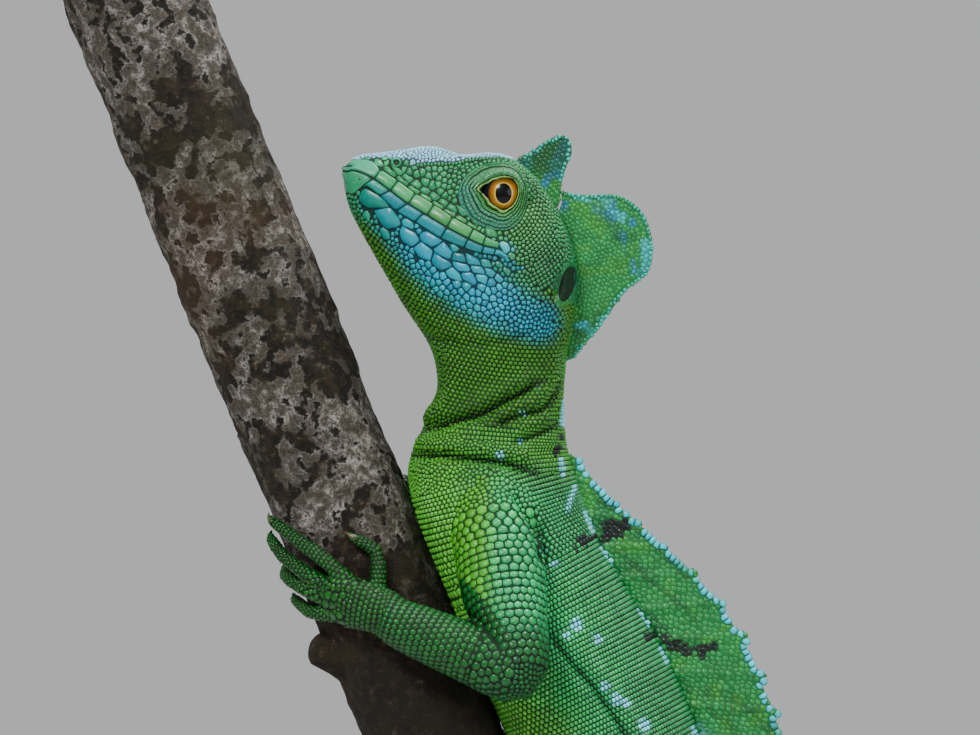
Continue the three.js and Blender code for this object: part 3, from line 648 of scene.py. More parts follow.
MOUTH_LINE = (
    (-23.4, 32.4), (-21.9, 32.3), (-19.4, 31.2), (-16.6, 29.2), (-13.8, 27.1), (-10.9, 25.3), (-7.3, 23.1),
    (-3.8, 21.2), (-1.2, 20.0), (1.8, 19.2), (4.1, 17.4),
)


def held(region: Region, grip: Grip, along: float, turn: float) -> tuple[float, float]:
    """Gives a digit's place along and round the perch, as the whole hand or foot lies.

    Args:
        region: Hand or foot.
        grip: Where the whole hand or foot lies.
        along: The place along the perch.
        turn: The turn round it, in degrees.

    Returns:
        The place along the perch and the turn round it.
    """
    root_along, root_turn, _ = PALM[region][-1]
    along_perch = root_along + (along - root_along) * grip.reach + grip.along
    return along_perch, root_turn + (turn - root_turn) * grip.wrap + grip.turn


def palm_path(region: Region, grip: Grip) -> list[Array]:
    """Gives the centre line of a palm or sole, from the datum."""
    stops = PALM[region]
    return [perch_point(grip.side, along + grip.along, turn + grip.turn, lift) for along, turn, lift in stops]


def digit_path(region: Region, grip: Grip, stops: Sequence[tuple[float, float]]) -> Array:
    """Gives a digit's centre line, from the datum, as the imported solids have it.

    Args:
        region: Hand or foot.
        grip: Where the whole hand or foot lies.
        stops: The digit's joints, as places along and round the perch.

    Returns:
        One point for each joint.
    """
    root, tip = DIGIT_RADII[region]
    points = []
    for i, (along, turn) in enumerate(stops):
        radius = root + (tip - root) * i / (len(stops) - 1)
        points.append(perch_point(grip.side, *held(region, grip, along, turn), radius + DIGIT_LIFT))
    return np.array(points)


@dataclass(frozen=True)
class Fold:
    """A crease in the hide, drawn in the side view, with the roll of hide beside it."""

    line: tuple[tuple[float, float], ...]
    depth: float
    width: float
    roll: float = 0.0


FOLDS = (
    Fold(((-11.4, -10.8), (-6.3, -8.9), (-1.5, -7.6), (3.0, -5.2), (9.1, -1.9)), 1.3, 0.8, 0.9),
    Fold(((-13.4, -14.6), (-8.0, -14.4), (-3.3, -14.9), (2.2, -15.6), (7.6, -17.4)), 1.4, 0.8, 0.9),
    Fold(((0.5, -9.6), (4.4, -7.9), (8.8, -6.6), (11.4, -3.0)), 0.9, 0.65, 0.5),
    Fold(((3.6, -12.4), (7.6, -10.9), (11.0, -9.4)), 0.8, 0.6, 0.45),
    Fold(((3.5, -19.5), (5.4, -22.5), (8.0, -27.2), (9.0, -33.0)), 1.2, 0.8, 0.5),
    Fold(((9, -42.5), (12, -46.6), (16.5, -51.6), (19.3, -55.7), (22.3, -60.6), (36, -90)), 0.9, 0.7, 0.6),
    Fold(((-12.0, 5.0), (-5.0, 4.0), (2.0, 4.2), (8.0, 6.4)), 0.35, 0.7, 0.15),
)


def lid_reach(turns: Array) -> Array:
    """Gives the distance from the eye's middle to the lids' edge in each direction of the side view."""
    across, tall = np.array(LID_LINE).T
    return np.interp(turns, np.arctan2(tall, across), np.hypot(across, tall), period=2 * math.pi)


def orbit_reach(turns: Array) -> Array:
    """Gives the distance from the eye's middle to the outer edge of the lids' folds in each direction.

    Args:
        turns: Directions in the side view, in radians.

    Returns:
        The distances.
    """
    wide = np.where(np.cos(turns) < 0, 7.3, 4.2)
    tall = np.where(np.sin(turns) > 0, 5.3, 6.1)
    return 1.0 / np.hypot(np.cos(turns) / wide, np.sin(turns) / tall)


@dataclass
class Hide:
    """The one skin under the scales, from the snout to the tip of the tail and of each digit."""

    frame: dict[str, Any]
    voxel: float = 0.42
    swell: float = 0.24
    most_faces: int = 180_000
    rounds: int = 14
    joint_rounds: int = 90
    tail_reach: float = 7.0
    tail_slice: float = 1.5
    tail_fade: tuple[float, float] = (215.0, 250.0)
    blends: tuple[tuple[tuple[float, float, float], float], ...] = (
        ((-1.5, 12.0, -25.0), 11.0),
        ((-16.6, 15.3, -41.0), 7.5),
        ((-14.4, 13.0, -23.4), 6.0),
        ((36.0, 10.0, -103.0), 10.0),
        ((17.4, 15.4, -124.6), 7.0),
        ((32.8, 13.2, -141.8), 7.0),
    )

    def build(self) -> bpy.types.Object:
        """Fuses the nodes of flesh into one skin, rounds their facets off and presses the folds in.

        Returns:
            The skin.
        """
        flesh = (*TRUNK_NODES, *LIMBS, *GRIP_NODES)
        skin = copy_nodes("hide_skin", flesh, self.frame)
        self._offset(skin, self.swell)
        apply_modifier(skin, "REMESH", mode="VOXEL", voxel_size=self.voxel * MM)
        self._round_off(skin)
        self._even_tail(skin)
        self._offset(skin, -self.swell * 0.6)
        self._press_folds(skin)
        faces = sum(len(p.vertices) - 2 for p in skin.data.polygons)
        if faces > self.most_faces:
            apply_modifier(skin, "DECIMATE", ratio=self.most_faces / faces, use_collapse_triangulate=True)
        select_only(skin)
        bpy.ops.object.shade_smooth()
        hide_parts(*flesh)
        return skin

    def _offset(self, skin: bpy.types.Object, distance: float) -> None:
        """Moves the whole skin out along its normals by a distance.

        Args:
            skin: The skin.
            distance: How far, in millimetres.
        """
        mesh = skin.data
        points = np.empty(len(mesh.vertices) * 3)
        normals = np.empty(len(mesh.vertices) * 3)
        mesh.vertices.foreach_get("co", points)
        mesh.vertices.foreach_get("normal", normals)
        mesh.vertices.foreach_set("co", points + normals * distance * MM)
        mesh.update()

    def _round_off(self, skin: bpy.types.Object) -> None:
        """Smooths the skin, hardly at all on the digits and round the mouth, eyes, nostrils and ears.

        Args:
            skin: The skin.
        """
        surface = Surface(skin)
        local = surface.points - DATUM
        side_view = local[:, (0, 2)]
        digits = np.full(len(local), 1e3)
        for (region, _), grip in GRIPS.items():
            for stops in DIGITS[region]:
                digits = np.minimum(digits, polyline_gap(local, digit_path(region, grip, stops), 6.0)[0])
        keep = smoothstep(4.5, 2.5, digits)
        keep = np.maximum(keep, smoothstep(1.6, 0.7, polyline_gap(side_view, np.array(MOUTH_LINE), 3.0)[0]))
        keep = np.maximum(keep, smoothstep(2.0, 1.0, polyline_gap(side_view, np.array(CANTHUS), 3.0)[0]))
        for centre, reach in ((EYE_CENTRE[::2], 5.6), (NOSTRIL, 1.6), (EAR, 4.0)):
            gap = np.linalg.norm(side_view - centre, axis=1)
            keep = np.maximum(keep, smoothstep(reach + 1.0, reach, gap))
        keep = np.where((side_view[:, 1] > 12) | (digits < 5), keep, 0.0)
        self._soften(skin, 1.0 - 0.88 * keep, 20, self.rounds)
        mirrored = mirror(local)
        joint = np.zeros(len(local))
        for spot, reach in self.blends:
            joint = np.maximum(joint, smoothstep(reach, reach * 0.6, np.linalg.norm(mirrored - spot, axis=1)))
        self._soften(skin, joint * np.where(digits < 3.0, 0.0, 1.0), 10, self.joint_rounds)

    def _soften(self, skin: bpy.types.Object, weights: Array, levels: int, rounds: int) -> None:
        """Smooths the skin by a weight at each corner, rounded to a number of levels.

        Args:
            skin: The skin.
            weights: A weight from 0 to 1 for each corner.
            levels: How many steps the weights are rounded to.
            rounds: How often the skin is smoothed.
        """
        group = skin.vertex_groups.new(name="soft")
        rounded = np.round(weights * levels).astype(int)
        for level in np.unique(rounded[rounded > 0]):
            group.add(np.nonzero(rounded == level)[0].tolist(), level / levels, "REPLACE")
        apply_modifier(skin, "SMOOTH", factor=0.5, iterations=rounds, vertex_group="soft")
        skin.vertex_groups.clear()

    def _even_tail(self, skin: bpy.types.Object) -> None:
        """Moves the thin end of the tail on to its centre line, slice by slice, which takes out its kinks.

        Args:
            skin: The skin.
        """
        surface = Surface(skin)
        line = place(smooth_line(TAIL_AXIS, 400))
        passed = run_along(line)
        gap, run, _ = polyline_gap(surface.points, line, self.tail_reach + 1.0)
        tail = gap < self.tail_reach
        slices = (run[tail] / self.tail_slice).astype(int)
        counts = np.bincount(slices)
        share = smoothstep(*self.tail_fade, run[tail])
        for axis in range(3):
            middles = np.bincount(slices, surface.points[tail, axis]) / np.maximum(counts, 1)
            along = np.bincount(slices, run[tail]) / np.maximum(counts, 1)
            off = middles - np.interp(along, passed, line[:, axis])
            surface.points[tail, axis] -= np.interp(run[tail], along[counts > 0], off[counts > 0]) * share
        move_points(skin, surface.points)

    def _press_folds(self, skin: bpy.types.Object) -> None:
        """Presses each fold into both flanks of the skin.

        Args:
            skin: The skin.
        """
        surface = Surface(skin)
        local = surface.points - DATUM
        move = np.zeros(len(local))
        outer = np.abs(surface.normals[:, 1]) > 0.15
        for crease in FOLDS:
            line = smooth_line(crease.line, 40)
            gap, run, above = flat_line_gap(local[:, (0, 2)], line, 6.0)
            share = run / line_length(line)
            fade = smoothstep(0.0, 0.15, share) * smoothstep(1.0, 0.8, share)
            press = crease.depth * np.exp(-((gap / crease.width) ** 2))
            roll = crease.roll * np.exp(-(((gap - 1.9) / 1.5) ** 2)) * np.where(above, 1.0, 0.35)
            move += np.where(outer, (roll - press) * fade, 0.0)
        move_points(skin, surface.points + surface.normals * move[:, None])


@dataclass(frozen=True)
class Spot:
    """A pale spot on the flank in the side view."""

    x: float
    z: float
    size: float
    strength: float = 1.0


def linear(red: float, green: float, blue: float) -> Array:
    """Turns a display colour of 0 to 255 into linear light."""
    share = np.array((red, green, blue)) / 255.0
    return np.where(share <= 0.04045, share / 12.92, ((share + 0.055) / 1.055) ** 2.4)


def tone(red: float, green: float, blue: float) -> tuple[float, ...]:
    """Turns a display colour of 0 to 255 into a shader's colour."""
    return (*linear(red, green, blue), 1.0)


PALE_SPOTS = tuple(
    Spot(*values)
    for values in (
        (5.4, -7.5, 0.8), (5.0, -12.0, 0.7), (7.9, -3.4, 0.7, 0.7), (1.6, -14.4, 0.9), (8.4, -30.1, 0.9),
        (10.4, -32.1, 0.8), (14.2, -42.0, 1.3), (12.6, -43.6, 0.9), (17.8, -44.6, 1.0), (8.1, -39.0, 0.9),
        (18.8, -52.2, 1.0), (20.6, -54.2, 1.2), (22.3, -54.9, 0.9), (25.2, -58.5, 1.3), (21.0, -66.0, 0.9),
        (27.5, -70.5, 1.1), (31.0, -80.0, 1.0), (25.5, -84.0, 0.8), (36.0, -92.0, 1.0), (34.5, -101.0, 0.9),
    )
)
DARK_BLOTCHES = tuple(
    Spot(*values)
    for values in (
        (10.9, -13.6, 0.8), (11.6, -11.6, 0.6), (15.3, -28.5, 0.9), (16.9, -27.9, 0.7), (13.9, -29.9, 0.5),
        (20.1, -26.7, 1.9), (18.7, -28.2, 1.1), (22.0, -25.9, 1.1), (26.4, -44.5, 0.8), (28.7, -44.6, 1.1),
        (30.4, -45.6, 1.1), (32.2, -46.5, 1.1), (35.1, -46.8, 1.1), (36.6, -46.0, 0.9), (41.5, -72.0, 1.6),
        (44.5, -73.0, 1.3), (47.5, -98.0, 1.5), (50.5, -99.5, 1.2),
    )
)
PALE_DASHES = (
    ((13.9, -19.8), (12.6, -23.4)), ((15.6, -23.8), (16.9, -27.2)), ((18.4, -29.7), (20.1, -32.2)),
    ((24.6, -40.1), (26.5, -42.8)), ((28.0, -46.1), (29.3, -48.8)), ((33.4, -59.6), (34.8, -62.6)),
    ((38.0, -70.0), (39.5, -73.2)), ((42.6, -84.0), (43.6, -87.0)), ((12.2, -5.6), (11.8, -9.4)),
    ((11.7, -15.2), (12.0, -18.0)),
)


class Markings:
    """The animal's colours, worked out from the place on its body."""

    BACK = linear(34, 138, 76)
    FLANK = linear(34, 168, 88)
    BELLY = linear(90, 184, 58)
    NECK = linear(62, 142, 24)
    THROAT = linear(46, 116, 4)
    # Pale blue-white top of the head: partly its own colour, partly a painted highlight of the light from
    # above.
    CROWN_AND_SKY_SHEEN = linear(146, 204, 236)
    TEMPLE = linear(26, 122, 68)
    CHEEK = linear(4, 140, 164)
    CHIN = linear(8, 128, 118)
    MENTAL = linear(34, 128, 84)
    UPPER_LIP = linear(26, 140, 88)
    LOWER_LIP = linear(6, 124, 132)
    LID = linear(80, 146, 62)
    LID_RIM = linear(140, 186, 84)
    LID_BAND = linear(64, 134, 88)
    ARM = linear(24, 158, 88)
    ARM_FRONT = linear(70, 158, 20)
    # Elbow, forearm and hand: dark green, partly their own colour and partly painted shade.
    ELBOW_TONE_AND_SHADE = linear(6, 84, 32)
    FOREARM = linear(4, 88, 26)
    HAND = linear(6, 84, 14)
    LEG = linear(34, 134, 66)
    CREST = linear(28, 132, 62)
    CREST_DARK = linear(10, 80, 42)
    CREST_EDGE = linear(40, 190, 204)
    CREST_BLUE = linear(24, 112, 170)
    TAIL_BAND = linear(36, 62, 28)
    SPOT = linear(120, 226, 240)
    BLACK = linear(6, 8, 18)
    # Painted shade for the bottoms of the folds and the crests' furrows.
    CREASE_SHADE = linear(8, 22, 10)
    EAR_DRUM = linear(30, 84, 82)

    def paint(self, points: Array, regions: Array) -> Array:
        """Colours places on the hide.

        Args:
            points: Places in the model's frame.
            regions: The value of each place's Region.

        Returns:
            Linear colours.
        """
        local = points - DATUM
        x, _, z = local.T
        colours = np.tile(self.FLANK, (len(points), 1))
        trunk = np.array(NECK_AXIS + TORSO_AXIS[1:] + TAIL_AXIS[1:])
        line = smooth_line(trunk, 120)
        _, run, nearest = polyline_gap(local, line)
        steps = unit(np.diff(line, axis=0))[nearest]
        height = ((local - line[nearest]) * dorsal(steps)).sum(axis=1)
        girth = np.interp(run, (0, 28, 60, 110, 140, 200, 400), (11, 13, 19, 16, 8, 5, 1))
        level = height / girth
        patches = value_noise(points, 4.5, 3)
        lay(colours, self.BACK, smoothstep(0.05, 0.7, level + patches * 0.25))
        lay(colours, self.BELLY, smoothstep(-0.05, -0.6, level + patches * 0.12))
        lay(colours, self.NECK, smoothstep(-22.0, -14.0, z) * (x < 20) * 0.85)
        self._bands(colours, run, regions, points)
        self._head(colours, x, z, regions, points)
        self._limbs(colours, local, regions)
        self._crests(colours, local, regions, points)
        colours *= (1.0 + value_noise(points, 2.1) * 0.14 + patches * 0.12)[:, None]
        self._spots(colours, local, regions, points)
        self._creases(colours, local, regions)
        return np.clip(colours, 0.0, 1.0)

    def _bands(self, colours: Array, run: Array, regions: Array, points: Array) -> None:
        """Darkens the tail in bands that grow stronger towards its tip.

        Args:
            colours: A linear colour for each place.
            run: How far along the body each place lies.
            regions: The value of each place's Region.
            points: Places in the model's frame.
        """
        tail = within(regions, Region.TAIL)
        wave = np.sin(run / 17.0 * 2 * math.pi + value_noise(points, 9, 5) * 0.9)
        share = smoothstep(0.1, 0.7, wave) * np.interp(run, (150, 260, 480), (0.2, 0.6, 0.8))
        lay(colours, self.TAIL_BAND, share * tail)

    def _head(self, colours: Array, x: Array, z: Array, regions: Array, points: Array) -> None:
        """Colours the head: pale crown, lightened in part as painted highlight, teal lips, blue cheek and
        chin shields, green temple and throat.

        Args:
            colours: A linear colour for each place.
            x: How far back each place lies from the datum.
            z: How high it lies.
            regions: The value of each place's Region.
            points: Places in the model's frame.
        """
        head = within(regions, Region.HEAD)
        side_view = np.stack((x, z), axis=1)
        gap, run, above = flat_line_gap(side_view, np.array(MOUTH_LINE))
        below = np.where(above, -gap, gap)
        blur = value_noise(points, 1.7, 8)
        lay(colours, self.TEMPLE, head)
        lay(colours, self.LID, head * np.exp(-(((x - 6.0) / 5.0) ** 2) - (((z - 24.0) / 6.0) ** 2)) * 0.5)
        lay(colours, self.UPPER_LIP, head * smoothstep(-3.0, -9.0, x) * smoothstep(8.0, 3.5, gap) * 0.55)
        throat = smoothstep(3.0, 7.0, below) * smoothstep(12.0, 4.0, z + 0.35 * x)
        lay(colours, self.THROAT, head * np.maximum(throat, smoothstep(6.0, 8.0, below)))
        lay(colours, self.NECK, head * smoothstep(9.0, 13.0, x) * smoothstep(12.0, 4.0, z) * 0.6)
        band = cheek_share(side_view) + blur * 0.12
        lay(colours, self.CHIN, head * smoothstep(1.6, 0.75, band) * (below > 0))
        cheek = smoothstep(1.2, 0.4, band) * (below > 0) * smoothstep(-19.0, -12.0, x)
        lay(colours, self.CHEEK, head * cheek)
        lay(colours, self.MENTAL, head * smoothstep(-18.6, -20.6, x) * (below > -2.6) * (z > 28.0))
        lay(colours, self.LOWER_LIP, head * smoothstep(-20.5, -17.0, x) * (below > 0) * (below < 1.9) * 0.95)
        upper = head * (below < 0) * smoothstep(2.6, 2.3, gap) * (run < 29)
        lay(colours, self.UPPER_LIP, upper)
        olive = np.exp(-(((x + 8.0) / 7.0) ** 2)) * 0.5
        lay(colours, self.LID, upper * olive)
        ridge = np.interp(x, *np.array(CANTHUS).T)
        # The crown's pale colour stands partly for the light falling on the top of the head, a painted
        # highlight.
        crown = smoothstep(-0.15, 0.3, z - ridge) * smoothstep(8.5, 6.5, x) * (x > -24)
        lay(colours, self.CROWN_AND_SKY_SHEEN, head * crown * (0.85 + 0.15 * value_noise(points, 1.3, 9)))
        corner = smoothstep(1.7, 0.7, np.hypot(x - 2.7, z - 19.4))
        lay(colours, self.CREST_EDGE, head * corner * 0.7)
        # Painted highlight, in part, on the top of the snout's tip.
        tip = smoothstep(-20.0, -22.5, x) * smoothstep(32.4, 33.6, z)
        lay(colours, self.CROWN_AND_SKY_SHEEN, head * tip * 0.15)

    def _limbs(self, colours: Array, local: Array, regions: Array) -> None:
        """Colours the limbs from the turquoise-green upper arm to the dark green forearm, shin and digits,
        dark partly by their own colour and partly as painted shade.

        Args:
            colours: A linear colour for each place.
            local: The places from the datum.
            regions: The value of each place's Region.
        """
        front_line = ((0.4, 8.0, -23.5), (4.2, 22.0, -46.0), (-15.5, 14.5, -36.0))
        rear_line = ((37, 6.5, -104), (27.0, 38.0, -84), (24.0, 14.0, -131.0))
        mirrored = mirror(local)
        for region, path, upper in ((Region.ARM, front_line, self.ARM), (Region.LEG, rear_line, self.LEG)):
            mine = within(regions, region)
            line = np.array(path)
            _, run, nearest = polyline_gap(mirrored, line)
            elbow = float(np.linalg.norm(line[1] - line[0]))
            forward = local[:, 0] - (line[nearest] + (line[nearest + 1] - line[nearest]) * 0.5)[:, 0]
            shoulder = 0.15 + 0.85 * smoothstep(1.0, 13.0, run)
            lay(colours, upper, mine * shoulder)
            lay(colours, self.ARM_FRONT, mine * smoothstep(-0.5, -4.0, forward) * (run < elbow) * 0.9)
            # The darkening from the elbow on is partly the limb's own colour, partly painted shade.
            lay(colours, self.ELBOW_TONE_AND_SHADE, mine * smoothstep(elbow - 9.0, elbow + 1.0, run))
            lay(colours, self.FOREARM, mine * smoothstep(elbow + 1.0, elbow + 7.0, run))
        lay(colours, self.HAND, within(regions, Region.HAND, Region.FOOT))

    def _crests(self, colours: Array, local: Array, regions: Array, points: Array) -> None:
        """Colours the crests: mottled green, with blue blotches near the edge of the head's rear lobe and
        thin dark lines on the back and tail crests painted as shade in furrows.

        Args:
            colours: A linear colour for each place.
            local: The places from the datum.
            regions: The value of each place's Region.
            points: Places in the model's frame.
        """
        crest = within(regions, Region.CREST)
        x, _, z = local.T
        lay(colours, self.CREST, crest)
        lay(colours, self.CREST_DARK, crest * smoothstep(0.0, 0.6, value_noise(points, 2.6, 12)) * 0.5)
        # Thin dark lines on the back and tail crests: painted shade in furrows of the membrane.
        ray = np.sin((x * 0.68 + z * 0.73) * 2 * math.pi / 4.4 + 2.0 * value_noise(points, 7.0, 18))
        depth = smoothstep(0.75, 1.0, ray) * (z < -10) * smoothstep(-0.3, 0.4, value_noise(points, 5.0, 19))
        lay(colours, self.CREASE_SHADE, crest * depth * 0.5)
        lay(colours, self.NECK, crest * smoothstep(0.1, 0.7, value_noise(points, 1.9, 14)) * 0.35)
        lobe = crest * (z > 0)
        rim = np.hypot((x - 14.5) / 11.5, (z - 17.5) / 12.5)
        blots = smoothstep(0.05, 0.4, value_noise(points, 1.6, 15)) * smoothstep(0.62, 0.85, rim)
        lay(colours, self.CREST_BLUE, lobe * blots * (z > 14) * 0.8)
        flecks = smoothstep(0.1, 0.5, value_noise(points, 2.2, 16)) * (rim > 0.8)
        lay(colours, self.CREST_EDGE, lobe * flecks * 0.6)
        horn = lobe * smoothstep(30.0, 33.0, z)
        lay(colours, self.CREST_DARK * 0.9, horn * 0.85)
        edge = within(regions, Region.EDGE)
        lay(colours, self.CREST_EDGE, edge)
        lay(colours, self.CREST, edge * smoothstep(0.1, 0.5, value_noise(points, 3.0, 17)) * 0.6)
        lay(colours, self.CREST * 1.3, edge * (z > 0) * 0.55)

    def _creases(self, colours: Array, local: Array, regions: Array) -> None:
        """Darkens the bottoms of the folds with painted shade.

        Args:
            colours: A linear colour for each place.
            local: The places from the datum.
            regions: The value of each place's Region.
        """
        body = within(regions, Region.HEAD, Region.NECK, Region.TORSO)
        for crease in FOLDS:
            gap, _, _ = polyline_gap(local[:, (0, 2)], smooth_line(crease.line, 24), 2.0)
            share = np.exp(-((gap / (crease.width * 0.6)) ** 2)) * min(crease.depth, 1.0)
            lay(colours, self.CREASE_SHADE, share * body * 0.75)

    def _spots(self, colours: Array, local: Array, regions: Array, points: Array) -> None:
        """Adds the pale spots of the flanks, the dashes along the back and the black blotches.

        Args:
            colours: A linear colour for each place.
            local: The places from the datum.
            regions: The value of each place's Region.
            points: Places in the model's frame.
        """
        body = within(regions, Region.NECK, Region.TORSO, Region.CREST)
        shift = np.stack((value_noise(points, 0.9, 21), value_noise(points, 0.9, 22)), axis=1) * 0.4
        side_view = local[:, (0, 2)] + shift
        for spot in DARK_BLOTCHES:
            gap = np.linalg.norm(side_view - (spot.x, spot.z), axis=1)
            share = smoothstep(spot.size * 1.15, spot.size * 0.8, gap + value_noise(points, 1.1, 23) * 0.4)
            lay(colours, self.BLACK, share * body * 0.97)
        flank = within(regions, Region.NECK, Region.TORSO)
        for spot in PALE_SPOTS:
            gap = np.linalg.norm(local[:, (0, 2)] - (spot.x, spot.z), axis=1)
            lay(colours, self.SPOT, smoothstep(spot.size, spot.size * 0.6, gap) * flank * spot.strength)
        for dash in PALE_DASHES:
            gap, _, _ = polyline_gap(local[:, (0, 2)], np.array(dash), 2.0)
            lay(colours, self.SPOT, smoothstep(0.55, 0.25, gap) * (1 - within(regions, Region.HEAD)) * 0.9)


@dataclass(frozen=True)
class ScaleStyle:
    """How one kind of scale is formed.

    The height is a share of the scale's half width, the shoulder a share of its reach, and the bevel, where
    there is one, replaces the shoulder by a width in millimetres. Groove is the bare width left on each side.
    """

    name: str
    angles: tuple[float, ...]
    height: float
    shoulder: float = 0.66
    bevel: float = 0.0
    groove: float = 0.02
    tilt: float = 0.0
    limit: float = 1.45
    # dark: how light the outer ring is painted, darkened as painted shade where the scale meets the groove,
    # partly the darker skin's own colour
    dark: float = 0.3
    hugs: bool = False
    near: int = 14


def even_angles(count: int, first: float = 0.0) -> tuple[float, ...]:
    """Gives directions at equal turns, in degrees."""
    return tuple(first + 360.0 * k / count for k in range(count))


BEAD = ScaleStyle("bead", (40, 90, 140, 220, 270, 320), 0.6, 0.66, groove=0.015, limit=2.1, dark=0.14)
GRAIN = ScaleStyle("grain", even_angles(7, 90), 0.5, 0.68, groove=0.015, dark=0.14)
ANCHOR = -1
BACK_AND_DOWN = (0.75, 0.0, -0.66)
PLATE = ScaleStyle(
    "plate", even_angles(18, 90), 0.16, bevel=0.13, groove=0.045, limit=2.0, dark=0.06, hugs=True, near=60
)
MOSAIC = ScaleStyle(
    "mosaic", even_angles(10, 90), 0.24, bevel=0.1, groove=0.025, limit=1.6, dark=0.08, hugs=True
)
HEXAGON = ScaleStyle(
    "hexagon", even_angles(6, 30), 0.17, bevel=0.09, groove=0.02, tilt=0.12, limit=2.1, dark=0.14
)
FINE = ScaleStyle("fine", even_angles(6, 30), 0.26, 0.7, groove=0.01, tilt=0.08, limit=1.8, dark=0.34)
FRILL = ScaleStyle("frill", even_angles(6, 30), 0.14, 0.74, groove=0.0, tilt=0.03, dark=0.85)
EDGING = ScaleStyle("edging", even_angles(8, 90), 0.45, 0.66, groove=0.03, dark=0.4)
STYLES = (BEAD, GRAIN, PLATE, MOSAIC, HEXAGON, FINE, FRILL, EDGING)
FACTS = ("points", "normals", "along", "sizes", "stretches", "styles", "regions")


@dataclass
class Sites:
    """The roots of scales: where each stands, which way it lies, its half width and how much longer it is."""

    batches: list[dict[str, Array]] = field(default_factory=list)

    def add(
        self,
        points: Array,
        normals: Array,
        along: Array,
        sizes: Any,
        style: ScaleStyle | int,
        region: Any,
        stretch: Any = 1.0,
    ) -> None:
        """Adds a batch of scale roots; sizes, region and stretch may be one value for all.

        Roots with ANCHOR for their style carry no scale: they hold room for the pieces made apart.

        Args:
            points: The roots.
            normals: The directions out of the skin there.
            along: The directions that the scales lie in.
            sizes: Their half widths, one for all or one for each.
            style: Their style, or ANCHOR.
            region: Their Region, or the value of each one's.
            stretch: How much longer than wide they are.
        """
        count = len(points)
        if count == 0:
            return
        flat = along - (along * normals).sum(axis=1, keepdims=True) * normals
        value = region.value if isinstance(region, Region) else region
        self.batches.append(
            {
                "points": points,
                "normals": normals,
                "along": unit(flat),
                "sizes": np.broadcast_to(np.asarray(sizes, float), (count,)).copy(),
                "stretches": np.broadcast_to(np.asarray(stretch, float), (count,)).copy(),
                "styles": np.full(count, STYLES.index(style) if isinstance(style, ScaleStyle) else style),
                "regions": np.broadcast_to(np.asarray(value), (count,)).copy(),
            }
        )

    def packed(self) -> dict[str, Array]:
        """Joins the batches into one array for each fact."""
        return merge_sites(*self.batches)


def merge_sites(*batches: dict[str, Array]) -> dict[str, Array]:
    """Joins batches of sites, the first one first."""
    return {name: np.concatenate([batch[name] for batch in batches]) for name in FACTS}


def cover(sites: dict[str, Array]) -> Array:
    """Gives the radius that each scale covers, between its half width and its half length."""
    return sites["sizes"] * np.where(sites["stretches"] > 1.05, 0.9 * np.hypot(1.0, sites["stretches"]), 1.0)


def keep_only(sites: dict[str, Array], kept: Array) -> dict[str, Array]:
    """Gives the same facts for some of the sites."""
    return {name: values[kept] for name, values in sites.items()}


WIDEST_LOOKED_AT = 1.6


def thin_out(sites: dict[str, Array], closeness: float, fixed: int = 0) -> dict[str, Array]:
    """Drops each site that lies too close to an earlier one.

    Args:
        sites: The sites, the most important first.
        closeness: The least distance, as a share of the two sizes together.
        fixed: How many of the first sites always stay.

    Returns:
        The sites that stay.
    """
    tree, sizes = make_tree(sites["points"]), sites["sizes"]
    widest = min(float(sizes.max()), WIDEST_LOOKED_AT)
    kept = np.ones(len(sizes), dtype=bool)
    for i, point in enumerate(sites["points"].tolist()):
        if not kept[i]:
            continue
        for _, j, gap in tree.find_range(point, closeness * (sizes[i] + widest)):
            if j > i and j >= fixed and gap < closeness * (sizes[i] + sizes[j]):
                kept[j] = False
    return keep_only(sites, kept)


@dataclass(frozen=True)
class RingRun:
    """A stretch of body or limb whose scales stand in rings round an axis."""

    nodes: tuple[str, ...]
    axis: Axis
    count: int
    size: float
    style: ScaleStyle
    region: Region
    tolerance: float = 0.7
    reach: float = 60.0
    belly: float = 1.0


def ring_sites(run: RingRun, skin: Surface, own: Surface, sites: Sites) -> None:
    """Sets scales in staggered rings round an axis, where the skin is that of the run's own nodes.

    Args:
        run: The stretch.
        skin: The skin under the scales.
        own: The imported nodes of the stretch.
        sites: Where the roots are added.
    """
    centres, along, upward, sideways = run.axis.stations()
    probe = np.radians(np.arange(0, 360, 10.0))
    for i, (centre, forward, up, side) in enumerate(zip(centres, along, upward, sideways)):
        rays = np.cos(probe)[:, None] * up + np.sin(probe)[:, None] * side
        hits, _, met = skin.cast(np.tile(centre, (len(probe), 1)), rays, run.reach)
        if met.sum() < len(probe) * 0.6:
            continue
        radius = np.interp(probe, probe[met], np.linalg.norm(hits - centre, axis=1)[met], period=2 * math.pi)
        ring = centre + rays * radius[:, None]
        lengths = np.linalg.norm(np.roll(ring, -1, axis=0) - ring, axis=1)
        lengths /= 1.0 + (run.belly - 1.0) * smoothstep(0.1, -0.7, np.cos(probe))
        passed = np.concatenate(([0.0], np.cumsum(lengths)))
        stagger = 0.5 * (i % 2)
        targets = (np.arange(run.count) + stagger) / run.count * passed[-1]
        turns = np.interp(targets, passed, np.append(probe, 2 * math.pi))
        rays = np.cos(turns)[:, None] * up + np.sin(turns)[:, None] * side
        points, normals, met = skin.cast(np.tile(centre, (run.count, 1)), rays, run.reach)
        met &= (normals * rays).sum(axis=1) > 0.15
        if not met.any():
            continue
        points, normals = points[met], normals[met]
        _, _, gaps = own.nearest(points)
        near = gaps < run.tolerance
        low = smoothstep(0.1, -0.7, np.cos(turns[met]))
        size = np.maximum(run.size, 0.5 * passed[-1] / run.count * (1.0 + (run.belly - 1.0) * low))
        forwards = np.tile(forward, (near.sum(), 1))
        sites.add(points[near], normals[near], forwards, size[near], run.style, run.region)


